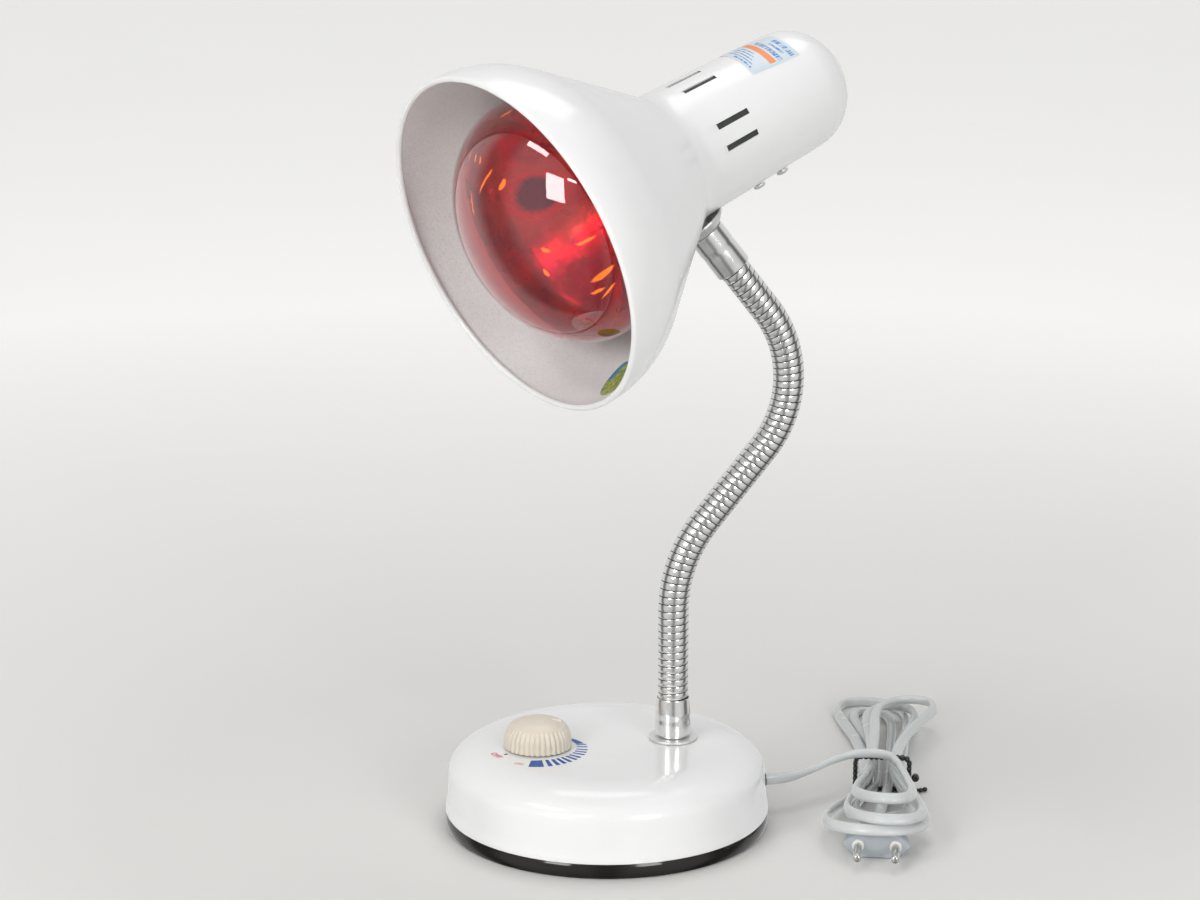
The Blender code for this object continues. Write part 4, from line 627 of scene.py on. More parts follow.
# Each finish: its material's name, its colour or the setting that holds it, roughness and metallic share,
# scale and amount of its mottling and of its polish, and scale, depth and strength of its ripples
FINISH_TABLE = {
    "enamel": ("enamel_white", "enamel", 0.22, 0.0, (14.0, 0.03), (60.0, 0.05), (420.0, 5e-5, 0.25)),
    "moulding": ("moulding_white", "moulding", 0.16, 0.0, (22.0, 0.025), (90.0, 0.05), (700.0, 2e-5, 0.2)),
    "skirt": ("skirt_brown", "skirt", 0.11, 0.0, (60.0, 0.35), (180.0, 0.04), (500.0, 4e-5, 0.15)),
    # Inside of the housing: painted shade, near black, so that the vents look dark
    "soot": ("housing_inside", (0.05, 0.055, 0.05), 0.6, 0.0, (80.0, 0.4), (200.0, 0.1), None),
    "ivory": ("knob_ivory", "ivory", 0.36, 0.0, (160.0, 0.06), (300.0, 0.07), (2200.0, 3e-5, 0.35)),
    "cord": ("cord_vinyl", "cord", 0.26, 0.0, (45.0, 0.05), (60.0, 0.02), (900.0, 3e-5, 0.15)),
    "plug": ("plug_vinyl", "plug", 0.42, 0.0, (120.0, 0.08), (300.0, 0.06), (2600.0, 3e-5, 0.4)),
    "collar": ("collar_white", (0.82, 0.82, 0.80), 0.4, 0.0, (400.0, 0.05), (400.0, 0.06), None),
    "pin": ("pin_nickel", (0.74, 0.73, 0.70), 0.2, 1.0, (500.0, 0.12), (900.0, 0.08), None),
    "chrome": ("neck_chrome", (0.86, 0.86, 0.84), 0.17, 1.0, (160.0, 0.10), (700.0, 0.05), None),
    # The hose's grooves: painted shade, dark and rough
    "groove": ("groove_dark", (0.09, 0.085, 0.08), 0.5, 0.8, (600.0, 0.3), (600.0, 0.1), None),
    "zinc": ("zinc_plate", (0.78, 0.78, 0.77), 0.38, 0.6, (350.0, 0.12), (800.0, 0.08), (1500.0, 2e-5, 0.3)),
    "steel": ("steel_plain", (0.55, 0.55, 0.56), 0.35, 1.0, (300.0, 0.12), (700.0, 0.1), None),
    "black": ("black_plastic", (0.012, 0.012, 0.013), 0.25, 0.0, (300.0, 0.2), (500.0, 0.07), None),
    "rubber": ("pad_rubber", (0.02, 0.02, 0.02), 0.75, 0.0, (200.0, 0.3), (400.0, 0.1), (2500.0, 6e-5, 0.5)),
    "iron": ("cast_iron", (0.10, 0.10, 0.10), 0.65, 0.9, (200.0, 0.3), (300.0, 0.12), (900.0, 2e-4, 0.7)),
    "board": ("board_brown", (0.33, 0.22, 0.09), 0.5, 0.0, (700.0, 0.2), (300.0, 0.1), None),
    "copper": ("copper_wire", (0.62, 0.26, 0.10), 0.3, 0.9, (400.0, 0.25), None, (3000.0, 1e-4, 0.6)),
    "red": ("red_case", (0.45, 0.05, 0.03), 0.4, 0.0, (300.0, 0.15), (500.0, 0.08), None),
    "aluminium": ("sink_aluminium", (0.75, 0.75, 0.76), 0.4, 1.0, (300.0, 0.1), (900.0, 0.1), None),
    "white": ("white_plastic", (0.80, 0.80, 0.77), 0.4, 0.0, (300.0, 0.06), (400.0, 0.08), None),
    "brass": ("cap_brass", (0.72, 0.54, 0.26), 0.28, 1.0, (300.0, 0.2), (600.0, 0.1), None),
    "ceramic": (
        "socket_ceramic", (0.82, 0.8, 0.74), 0.25, 0.0, (250.0, 0.06), (400.0, 0.06), (900.0, 6e-5, 0.3)
    ),
    "lead": ("lead_silicone", (0.78, 0.75, 0.68), 0.5, 0.0, (200.0, 0.08), (500.0, 0.08), None),
    "blue_ink": ("dial_blue", "dial_blue", 0.45, 0.0, (500.0, 0.3), (900.0, 0.1), None),
    "pale_ink": ("dial_pale", (0.02, 0.12, 0.45), 0.45, 0.0, (500.0, 0.3), (900.0, 0.1), None),
    "wedge_ink": ("dial_wedge", (0.02, 0.12, 0.45), 0.45, 0.0, (500.0, 0.2), (900.0, 0.1), None),
    "red_ink": ("dial_red", "dial_red", 0.45, 0.0, (500.0, 0.3), (900.0, 0.1), None),
    "black_ink": ("dial_black", (0.02, 0.02, 0.03), 0.45, 0.0, (500.0, 0.3), (900.0, 0.1), None),
    "clear": ("clear_glass", (0.93, 0.95, 0.94), 0.03, 0.0, (200.0, 0.03), None, None),
    "bulb": ("bulb_red", "glass", 0.02, 0.0, (30.0, 0.12), None, (60.0, 2e-4, 0.2)),
    "bulb_back": (
        "bulb_back", (0.4, 0.05, 0.05), 0.16, 0.75, (120.0, 0.35), (160.0, 0.06), (200.0, 3e-4, 0.3)
    ),
}
FINISH_SETTINGS = {
    "enamel": {"Coat_Weight": 0.3, "Coat_Roughness": 0.08},
    "moulding": {"Coat_Weight": 0.2, "Coat_Roughness": 0.05},
    "cord": {"Coat_Weight": 0.3, "Coat_Roughness": 0.12},
    "clear": {"Transmission_Weight": 1.0, "IOR": 1.5},
    "bulb": {"Transmission_Weight": 1.0, "IOR": 1.5, "Coat_Weight": 1.0},
}
# Finishes whose polish or ripples are drawn out or squeezed along the object's axes
FINISH_STRETCHES = {
    "pin": (1.0, 0.15, 1.0),
    "chrome": (1.0, 1.0, 3.0),
    "copper": (0.1, 1.0, 1.0),
    "aluminium": (1.0, 1.0, 0.05),
}


def make_finish(label, colours):
    """One finish from its line in the table."""
    name, colour, roughness, metallic, mottling, polish, ripples = FINISH_TABLE[label]
    if isinstance(colour, str):
        colour = tuple(getattr(colours, colour))
    look = Finish(name, colour, roughness, metallic, **FINISH_SETTINGS.get(label, {}))
    stretch = FINISH_STRETCHES.get(label, EVEN)
    look.mottled(*mottling)
    if polish:
        look.polished(*polish, stretch=stretch)
    if ripples:
        look.rippled(*ripples, stretch=stretch)
    return look


def make_finishes(colours):
    """Every finish of the lamp by name."""
    looks = {label: make_finish(label, colours) for label in FINISH_TABLE}
    looks["lining"] = lining_finish(tuple(colours.lining))
    looks["mirror"] = mirror_finish()
    return {label: look.material for label, look in looks.items()}


def lining_finish(colour):
    """The inside of the shade: pale, with faint clouds and fine dark specks."""
    lining = Finish("shade_lining", colour, 0.42)
    speck = lining.spread(lining.noise(2600.0, 2.0), 0.0, 1.0, 0.36, 0.46)
    cloud = lining.spread(lining.noise(30.0, 4.0), 0.0, 1.0, 0.3, 0.7)
    plain = lining.mix(cloud, shaded(colour, 0.93), colour)
    lining.paint(lining.mix(speck, shaded(colour, 0.72), plain))
    return lining.polished(300.0, 0.08).rippled(1500.0, 6e-5, 0.35)


def mirror_finish():
    """The bulb's crinkled mirror: red, maroon and rust clouds, a painted reflection of a dark disc in a red
    ring, and painted orange glints that glow on a few folds.
    """
    mirror = Finish("bulb_mirror", (0.75, 0.24, 0.36), 0.3, 0.55)
    place = mirror.node("ShaderNodeUVMap", uv_map="wrap").outputs["UV"]

    def folds(across, along, detail):
        return mirror.flat_noise(place, (across, along), detail)

    def spot(where, angle, depth, length, width, lean, soft):
        """One at the middle of a long spot, nothing outside it. Millimetres and degrees."""
        mapping = mirror.node("ShaderNodeMapping", vector_type="TEXTURE")
        mapping.inputs["Location"].default_value = (math.radians(angle) * WRAP_RADIUS, depth / 100.0, 0.0)
        mapping.inputs["Rotation"].default_value = (0.0, 0.0, math.radians(lean))
        mapping.inputs["Scale"].default_value = (length / 200.0, width / 200.0, 1.0)
        mirror.link(where, mapping.inputs["Vector"])
        ball = mirror.node("ShaderNodeTexGradient", gradient_type="SPHERICAL")
        mirror.link(mapping.outputs["Vector"], ball.inputs["Vector"])
        return mirror.spread(ball.outputs["Fac"], 0.0, 1.0, 0.0, soft)

    wobble = mirror.node("ShaderNodeVectorMath", operation="MULTIPLY_ADD")
    noise = mirror.node("ShaderNodeTexNoise", noise_dimensions="2D")
    noise.inputs["Scale"].default_value = 9.0
    mirror.link(place, noise.inputs["Vector"])
    mirror.link(noise.outputs["Color"], wobble.inputs[0])
    wobble.inputs[1].default_value = (0.03, 0.03, 0.0)
    mirror.link(place, wobble.inputs[2])
    where = wobble.outputs["Vector"]

    cloud = mirror.spread(folds(3.4, 3.4, 4.0), 0.0, 1.0, 0.40, 0.62)
    rust = mirror.spread(folds(2.1, 2.6, 3.0), 0.0, 1.0, 0.46, 0.60)
    colour = mirror.mix(cloud, (0.50, 0.03, 0.22), (1.0, 0.03, 0.15))
    colour = mirror.mix(rust, colour, (0.78, 0.46, 0.26))
    # Painted reflection: a bright red ring with a dark disc in it, set into the mirror's colour
    for colours, reach in (((1.0, 0.05, 0.14), 36.0), ((0.16, 0.08, 0.36), 25.0)):
        colour = mirror.mix(spot(where, *MIRROR_PAINTED_DISC, reach, reach * 0.9, 0.0, 0.3), colour, colours)
    mirror.paint(colour)
    # Painted highlights: orange glints that glow where folds would catch the light
    glint = spot(where, *PAINTED_GLINTS[0], GLINT_SOFTNESS)
    for line in PAINTED_GLINTS[1:]:
        glint = mirror.math("MAXIMUM", glint, spot(where, *line, GLINT_SOFTNESS))
    mirror.shader.inputs["Emission Color"].default_value = (1.0, 0.78, 0.02, 1.0)
    mirror.link(mirror.math("MULTIPLY", glint, GLINT_STRENGTH), mirror.shader.inputs["Emission Strength"])
    return mirror.bumped(folds(6.0, 9.0, 2.0), 0.0016, 0.35).polished(120.0, 0.05)


FINISHES = {}


# Mesh helpers


def made(name, points, faces, looks, marks=None, flip=None, sharp=SHARP):
    """A mesh object of these points and faces, its doubled points welded."""
    mesh = bpy.data.meshes.new(name)
    mesh.from_pydata([tuple(float(part) for part in point) for point in points], [], faces)
    for look in looks:
        mesh.materials.append(FINISHES[look])
    if marks is not None:
        mesh.polygons.foreach_set("material_index", marks)
    form = bmesh.new()
    form.from_mesh(mesh)
    bmesh.ops.remove_doubles(form, verts=form.verts, dist=WELD)
    if flip is None:
        bmesh.ops.recalc_face_normals(form, faces=form.faces)
    form.to_mesh(mesh)
    form.free()
    mesh.shade_smooth()
    mesh.set_sharp_from_angle(angle=sharp)
    obj = bpy.data.objects.new(name, mesh)
    bpy.context.scene.collection.objects.link(obj)
    return obj


def fit(obj, body, slot, *nodes):
    """The piece rides on a body and stands for its solids, which are hidden."""
    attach(obj, body)
    return stand_for(obj, slot, *nodes)


def stand_for(obj, slot, *nodes):
    if nodes:
        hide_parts(*nodes)
    return obj


def moved(points, spot):
    """Points of a frame taken to the row frame."""
    matrix = np.array(spot)
    return np.asarray(points, float) @ matrix[:3, :3].T + matrix[:3, 3]


def quads(rows, columns, closed=True, skip=()):
    """Faces between neighbouring rows of points."""
    faces = []
    for row in range(rows - 1):
        for column in range(columns if closed else columns - 1):
            if (row, column) not in skip:
                after = (column + 1) % columns
                start = row * columns
                upper = start + columns
                faces.append((start + column, start + after, upper + after, upper + column))
    return faces


def bent(before, corner, after, reach, steps):
    """Points of a soft bend past a corner, starting and ending a reach away from it."""
    start = corner + reach * (before - corner) / np.linalg.norm(before - corner)
    end = corner + reach * (after - corner) / np.linalg.norm(after - corner)
    points = []
    for step in range(steps + 1):
        share = step / steps
        first = start + (corner - start) * share
        points.append(first + (corner + (end - corner) * share - first) * share)
    return points


def softened(corners, steps=CORNER_STEPS):
    """An outline of (radius, height, rounding) with each corner rounded."""
    apart = [corners[0]]
    apart += [corner for last, corner in zip(corners, corners[1:]) if corner[:2] != last[:2]]
    spots = [np.array(corner[:2], float) for corner in apart]
    outline = [spots[0]]
    for number in range(1, len(spots) - 1):
        reach = apart[number][2]
        if reach:
            outline += bent(*spots[number - 1 : number + 2], reach, steps)
        else:
            outline.append(spots[number])
    return outline + [spots[-1]]


def lathe_points(outline, turns):
    outline = np.asarray(outline, float)
    radii = outline[:, 0][:, None]
    heights = np.repeat(outline[:, 1][:, None], len(turns), axis=1)
    return np.stack((radii * np.cos(turns), radii * np.sin(turns), heights), axis=2).reshape(-1, 3)


def lathed(name, outline, sides, looks, spot, marks=None):
    """A closed outline turned about the Z axis of a frame."""
    outline = list(outline) + [outline[0]]
    turns = np.arange(sides) * WHOLE / sides
    faces = quads(len(outline), sides)
    marked = None if marks is None else np.repeat(marks, sides)
    return made(name, moved(lathe_points(outline, turns), spot), faces, looks, marked)


def swept(rings):
    """Faces of a tube through rings of points, with flat ends."""
    rows, columns = len(rings), len(rings[0])
    last = (rows - 1) * columns
    ends = [tuple(range(columns)), tuple(last + column for column in reversed(range(columns)))]
    return quads(rows, columns) + ends


def joined(pieces):
    """The points and faces of several pieces as those of one."""
    points, faces, total = [], [], 0
    for fresh, fresh_faces in pieces:
        points.append(fresh)
        faces += [tuple(total + index for index in face) for face in fresh_faces]
        total += len(fresh)
    return np.concatenate(points), faces


def ring(radii, turns, height):
    """A ring of points at one height, with a radius at each angle."""
    return np.stack((radii * np.cos(turns), radii * np.sin(turns), np.full(len(turns), height)), axis=1)


def arc(centre, radii, start, end, steps):
    """Points along a round or elliptical corner of an outline."""
    turns = [start + (end - start) * step / steps for step in range(steps + 1)]
    return [(centre[0] + radii[0] * math.cos(turn), centre[1] + radii[1] * math.sin(turn)) for turn in turns]


def smooth_route(points, spacing):
    """Points every spacing or so along a smooth curve through the route's own points."""
    places = [Vector(point) for point in points]
    ends = [2.0 * places[0] - places[1]] + places + [2.0 * places[-1] - places[-2]]
    route = [places[0]]
    for before, start, end, after in zip(ends, ends[1:], ends[2:], ends[3:]):
        steps = max(1, round((end - start).length / spacing))
        for step in range(1, steps + 1):
            share = step / steps
            bend_in = (end - before) / 2.0
            bend_out = (after - start) / 2.0
            turn = 2.0 * share**3 - 3.0 * share**2 + 1.0
            lean = share**3 - 2.0 * share**2 + share
            rise = share**3 - share**2
            route.append(turn * start + lean * bend_in + (1.0 - turn) * end + rise * bend_out)
    return route


def rounded(points, reach):
    """A route through straight runs whose corners are rounded within a reach."""
    route = [points[0]]
    for before, corner, after in zip(points, points[1:], points[2:]):
        start = corner + reach * (before - corner).normalized()
        end = corner + reach * (after - corner).normalized()
        for step in range(LEAD_STEPS + 1):
            share = step / LEAD_STEPS
            first = start.lerp(corner, share)
            route.append(first.lerp(corner.lerp(end, share), share))
    return route + [points[-1]]


def tube_rings(route, section, twist=None):
    """Rings of a section along a route. The section lies flat: its first axis level, its second upright."""
    route = np.array([tuple(point) for point in route], float)
    heading = np.gradient(route, axis=0)
    heading /= np.linalg.norm(heading, axis=1)[:, None]
    side = np.cross(heading, (0.0, 0.0, 1.0))
    side /= np.maximum(np.linalg.norm(side, axis=1)[:, None], 1e-9)
    rise = np.cross(side, heading)
    turn = np.zeros(len(route)) if twist is None else twist
    wide = np.cos(turn)[:, None] * side + np.sin(turn)[:, None] * rise
    thin = np.cross(wide, heading)
    section = np.asarray(section, float)
    across = section[None, :, 0:1] * wide[:, None, :]
    return route[:, None, :] + across + section[None, :, 1:2] * thin[:, None, :]


def carried_rings(route, radius, sides):
    """Rings of a round tube along a route that may stand upright."""
    points = [Vector(point) for point in route]
    headings = [(after - before).normalized() for before, after in zip(points, points[1:])]
    headings = [headings[0]] + [(a + b).normalized() for a, b in zip(headings, headings[1:])] + [headings[-1]]
    side = headings[0].orthogonal().normalized()
    rings = []
    for point, heading in zip(points, headings):
        side = (side - side.dot(heading) * heading).normalized()
        other = heading.cross(side)
        turns = [WHOLE * step / sides for step in range(sides)]
        rings.append([point + radius * (math.cos(turn) * side + math.sin(turn) * other) for turn in turns])
    return np.array([[tuple(spot) for spot in ring] for ring in rings])


# Shared frames


def neck_frame(along):
    """The neck's frame at a distance along its centreline, +Z along it and +Y across its bends."""
    spot = Vector((NECK_OFFSET, 0.0, FERRULE_BOTTOM + FERRULE_LENGTH))
    lean = 0.0
    left = along
    for length, bend in NECK_RUNS:
        if left <= 0.0:
            break
        part = min(left, length)
        turn = bend * part / length
        chord = part if not bend else 2.0 * length / bend * math.sin(turn / 2.0)
        middle = lean + turn / 2.0
        spot = spot + chord * Vector((math.sin(middle), 0.0, math.cos(middle)))
        lean = lean + turn
        left = left - part
    if left > 0.0 or along < 0.0:
        rest = left if left > 0.0 else along
        spot = spot + rest * Vector((math.sin(lean), 0.0, math.cos(lean)))
    return Matrix.Translation(spot) @ Matrix.Rotation(lean, 4, "Y")


NECK_END = neck_frame(NECK_LENGTH)


def head_frame():
    """The shade's frame: origin in the middle of its rim, +Z back along its axis, +X away from the neck."""
    along = NECK_END.col[2].xyz
    inward = NECK_END.col[0].xyz * -1.0
    across = NECK_END.col[1].xyz * -1.0
    level = math.cos(HEAD_SWIVEL) * inward + math.sin(HEAD_SWIVEL) * across
    look = math.sin(HEAD_TILT) * along + math.cos(HEAD_TILT) * level
    back = look * -1.0
    crown = (along - along.dot(look) * look).normalized()
    side = back.cross(crown)
    centre = NECK_END.translation + HEAD_REACH * along + HEAD_DEPTH * look
    turn = Matrix((crown, side, back)).transposed().to_4x4()
    return Matrix.Translation(centre) @ turn


HEAD = head_frame()
UPRIGHT = Matrix.Identity(4)
KNOB_FRAME = Matrix.Translation((-KNOB_OFFSET, 0.0, 0.0))
FOOT_FRAME = Matrix.Translation((NECK_OFFSET, 0.0, 0.0))


def section_spans():
    """Start and end along the neck of each stiff section and each zone that bends."""
    spans = []
    start = GAP
    for ribs in NECK_RIBS:
        spans.append((start, start + ribs * RIB_PITCH))
        start = start + ribs * RIB_PITCH + GAP
    return spans


# Cord, tie and plug


def hank_route():
    """The hank's centreline: lobes to the front and the rear in turn, drawn in alike at the waist."""
    along = Vector((math.cos(HANK_TURN), math.sin(HANK_TURN), 0.0))
    across = Vector((math.sin(HANK_TURN), -math.cos(HANK_TURN), 0.0))
    waist = Vector((*HANK_WAIST, 0.0))
    floor = CORD_CORE_RADIUS + TIE_THICKNESS + GAP
    route = []
    for number, (length_share, width_share, fan, layers) in enumerate(HANK_LOBE_SHARES):
        side = 1.0 - 2.0 * (number % 2)
        swell = HANK_FRONT_SWELL if length_share < 0.0 else HANK_REAR_SWELL
        slot, next_slot = HANK_SLOT_SHARES[number : number + 2]
        length = HANK_LENGTH * length_share
        last = HANK_POINTS + int(number == len(HANK_LOBE_SHARES) - 1)
        for step in range(int(number == 0), last):
            turn = math.pi * step / HANK_POINTS
            done = (1.0 - math.cos(turn)) / 2.0
            out = math.sin(turn)
            column = HANK_COLUMN + HANK_STEP * (slot[0] + (next_slot[0] - slot[0]) * done)
            level = floor + HANK_STEP * (slot[1] + (next_slot[1] - slot[1]) * done)
            tip = CORD_CORE_RADIUS + HANK_STEP * layers
            sway = math.tan(math.radians(fan)) * abs(length) * out**2
            spread = side * math.cos(turn) * (column + HANK_WIDTH * width_share * out**swell) + sway
            height = Vector((0.0, 0.0, level + (tip - level) * out**2))
            route.append(waist + length * out * along + spread * across + height)
    lead_in = (route[1] - route[0]).normalized() * 2.0 * CORD_CORE_RADIUS
    lead_out = (route[-1] - route[-2]).normalized() * 2.0 * CORD_CORE_RADIUS
    return [route[0] - lead_in] + route + [route[-1] + lead_out]


def plug_frame():
    """The plug's frame: origin in the middle of its pin face, +Y back to where its lead goes in."""
    spot = Matrix.Translation((*PLUG_FACE, PLUG_THICKNESS / 2.0))
    return spot @ Matrix.Rotation(PLUG_TURN, 4, "Z")


def cord_route():
    """The whole cord: out of the grommet, over the tie, through the hank and into the plug."""
    rear = plug_frame() @ Vector((0.0, PLUG_LENGTH, 0.0))
    back = plug_frame().col[1].xyz
    hank = hank_route()
    ends = [rear + back * 2.0 * CORD_CORE_RADIUS, rear - back * CORD_CORE_RADIUS]
    return smooth_route([*CORD_INSIDE, CORD_EXIT, *CORD_ROUTE, *hank, *PLUG_LEAD_ROUTE, *ends], CORD_SPACING)


def cord_twist(route):
    """How the flat cord turns about itself: on edge at the exit, level where it rises, then rolling."""
    steps = [0.0] + [(after - before).length for before, after in zip(route, route[1:])]
    along = np.cumsum(steps)
    eased = along[-1] - CORD_ROLL_EASE
    marks, turns = zip(*CORD_TURNS, (eased, CORD_TURNS[-1][1]), (along[-1], 0.0))
    rolled = along - CORD_ROLL_START
    roll = CORD_ROLL * np.sin(WHOLE * rolled / CORD_ROLL_PITCH) * np.clip(rolled / CORD_ROLL_EASE, 0.0, 1.0)
    roll *= np.clip((eased - along) / CORD_ROLL_EASE, 0.0, 1.0)
    return np.radians(np.interp(along, marks, turns) + roll)


def flat_section(width, thickness, sides):
    """A flat cord's section: two round cores side by side with a shallow dip between them."""
    spots = []
    for step in range(sides):
        turn = WHOLE * (step + 0.5) / sides
        across = math.cos(turn)
        up = math.copysign(abs(math.sin(turn)) ** CORD_ROUNDNESS, math.sin(turn))
        dip = 1.0 - CORD_DIP * math.exp(-((across / CORD_DIP_WIDTH) ** 2))
        spots.append((across * width / 2.0, up * dip * thickness / 2.0))
    return spots


class LAMP_OT_cord(bpy.types.Operator):
    """Lay the flat mains cord in its hank."""

    bl_idname = "lamp.cord"
    bl_label = "Mains cord"

    def execute(self, context):
        sizes = context.scene.lamp_sizes
        route = cord_route()
        section = flat_section(sizes.cord_width, sizes.cord_thickness, CORD_SIDES)
        rings = tube_rings(route, section, cord_twist(route))
        rings[..., 2] = np.maximum(rings[..., 2], GAP / 2.0)
        cord = made("mains_cord", rings.reshape(-1, 3), swept(rings), ["cord"])
        fit(cord, "base", "cord_grey", "power_cord", "cord_hank", "plug_lead", "cord_inner_end")
        return {"FINISHED"}


def rounded_loop(half_width, bottom, top, corner, steps=4):
    """A loop of points (x, z) round an upright oblong with round corners."""
    spots = []
    corners = (
        (half_width - corner, top - corner, 0.0),
        (corner - half_width, top - corner, QUARTER),
        (corner - half_width, bottom + corner, 2.0 * QUARTER),
        (half_width - corner, bottom + corner, 3.0 * QUARTER),
    )
    for x, z, start in corners:
        spots += arc((x, z), (corner, corner), start, start + QUARTER, steps)
    return spots


def evenly(points, spacing):
    """Points at an even spacing along a route."""
    route = np.asarray(points, float)
    along = np.concatenate(([0.0], np.cumsum(np.linalg.norm(np.diff(route, axis=0), axis=1))))
    count = max(2, round(along[-1] / spacing) + 1)
    spots = np.linspace(0.0, along[-1], count)
    return np.stack([np.interp(spots, along, route[:, axis]) for axis in range(route.shape[1])], axis=1)


def bead(centre, heading, radius, sides=10, rows=6):
    """Points and faces of one bead, a little longer along the tie."""
    heading = Vector(heading).normalized()
    turn = heading.to_track_quat("Z", "Y").to_matrix().to_4x4()
    turns = np.arange(sides) * WHOLE / sides
    profile = arc((0.0, 0.0), (radius, radius * TIE_BEAD_STRETCH), -QUARTER, QUARTER, rows)
    return moved(lathe_points(profile, turns), Matrix.Translation(centre) @ turn), quads(rows + 1, sides)


class LAMP_OT_tie(bpy.types.Operator):
    """Make the beaded tie round the hank's waist, with its head and its tail."""

    bl_idname = "lamp.tie"
    bl_label = "Hank tie"

    def execute(self, context):
        radius = context.scene.lamp_sizes.bead_radius
        columns = max(slot[0] for slot in HANK_SLOT_SHARES)
        layers = max(slot[1] for slot in HANK_SLOT_SHARES[1:])
        half = HANK_COLUMN + HANK_STEP * columns + CORD_CORE_RADIUS + TIE_SLACK
        height = 2.0 * (CORD_CORE_RADIUS + GAP) + HANK_STEP * layers
        home = Matrix.Translation((*HANK_WAIST, 0.0)) @ Matrix.Rotation(HANK_TURN - QUARTER, 4, "Z")
        loop = rounded_loop(half + radius, radius, TIE_THICKNESS + height + radius, 3.0 * TIE_THICKNESS)
        loop = [(x, 0.0, z) for x, z in loop]
        loop.append(loop[0])
        strands = [(-TIE_WIDTH / 3.0, loop), (TIE_WIDTH / 3.0, loop)]
        edge = half + 2.0 * radius
        tail = [
            (edge, 0.0, radius),
            (edge + TIE_TAIL * TIE_TAIL_BEND_SHARE, 0.0, radius),
            (edge + TIE_TAIL, TIE_TAIL_BEND, radius),
        ]
        strands.append((0.0, tail))
        pieces = []
        for shift, route in strands:
            spots = evenly(route, TIE_BEAD_SPACING)
            places = [Vector(spot) + Vector((0.0, shift, 0.0)) for spot in spots]
            headings = np.gradient(spots, axis=0)
            pieces += [bead(place, heading, radius) for place, heading in zip(places, headings)]
            core = carried_rings(places, radius * TIE_CORE_SHARE, TIE_CORE_SIDES)
            pieces.append((core.reshape(-1, 3), swept(core)))
        size = TIE_HEAD / 2.0
        corners = (
            (0.0, -size, 0.0),
            (size, -size, TIE_HEAD_ROUNDING),
            (size, size, TIE_HEAD_ROUNDING),
            (0.0, size, 0.0),
        )
        head = softened(corners, TIE_HEAD_STEPS)
        turns = np.arange(TIE_HEAD_SIDES) * WHOLE / TIE_HEAD_SIDES
        upright = Matrix.Rotation(QUARTER, 4, "X")
        head_spot = Matrix.Translation((edge + size, 0.0, height / 2.0)) @ upright
        pieces.append((moved(lathe_points(head, turns), head_spot), quads(len(head), TIE_HEAD_SIDES)))
        points, faces = joined(pieces)
        tie = made("hank_tie", moved(points, home), faces, ["black"])
        fit(tie, "base", "black_plastic", "cord_tie")
        return {"FINISHED"}


def plug_section(width, thickness, cut, rounding, steps=4):
    """The plug's six-sided section with rounded corners, as (x, z) points."""
    half, rise = width / 2.0, thickness / 2.0
    inner = half - cut
    corners = [(half, 0.0), (inner, rise), (-inner, rise), (-half, 0.0), (-inner, -rise), (inner, -rise)]
    corners = [np.array(corner) for corner in corners]
    spots = []
    for number, corner in enumerate(corners):
        after = corners[(number + 1) % len(corners)]
        spots += bent(corners[number - 1], corner, after, rounding, steps)
    return spots


class LAMP_OT_plug(bpy.types.Operator):
    """Make the flat plug with its two pins and their collars."""

    bl_idname = "lamp.plug"
    bl_label = "Plug"

    def execute(self, context):
        spot = plug_frame()
        rings = []
        for length, width, thickness, cut in PLUG_SHARES:
            sizes = (PLUG_WIDTH * width, PLUG_THICKNESS * thickness, PLUG_CORNER * cut, PLUG_ROUNDING * cut)
            rings.append([(x, PLUG_LENGTH * length, z) for x, z in plug_section(*sizes)])
        rings = np.array(rings)
        pieces = [(moved(rings.reshape(-1, 3), spot), swept(rings))]
        for way, side, number in ((-1.0, "left", 2), (1.0, "right", 1)):
            pin_spot = spot @ Matrix.Translation((way * PIN_SPACING / 2.0, 0.0, 0.0))
            pin_spot = pin_spot @ Matrix.Rotation(QUARTER, 4, "X")
            collar = softened(
                (
                    (PIN_RADIUS, -PIN_SEAT / 2.0, 0.0),
                    (COLLAR_RADIUS, -PIN_SEAT / 2.0, 0.0),
                    (COLLAR_RADIUS, COLLAR_LENGTH, COLLAR_ROUNDING),
                    (PIN_RADIUS, COLLAR_LENGTH, 0.0),
                    (PIN_RADIUS, -PIN_SEAT / 2.0, 0.0),
                )
            )
            turns = np.arange(SIDES_SMALL) * WHOLE / SIDES_SMALL
            pieces.append((moved(lathe_points(collar, turns), pin_spot), quads(len(collar), SIDES_SMALL)))
            pin = softened(
                (
                    (0.0, -PIN_SEAT, 0.0),
                    (PIN_RADIUS, -PIN_SEAT, 0.0),
                    (PIN_RADIUS, PIN_LENGTH, PIN_ROUNDING),
                    (0.0, PIN_LENGTH, 0.0),
                )
            )
            shank = lathed(f"plug_pin_{side}", pin, SIDES_SMALL, ["pin"], pin_spot)
            fit(shank, "base", "zinc_plate", f"plug_pin_{number}")
        points, faces = joined(pieces)
        marks = [int(place >= len(pieces[0][1])) for place in range(len(faces))]
        shell = made("plug_shell", points, faces, ["plug", "collar"], marks)
        fit(shell, "base", "plug_grey", "plug_body")
        return {"FINISHED"}


# Base, dial, knob and grommet


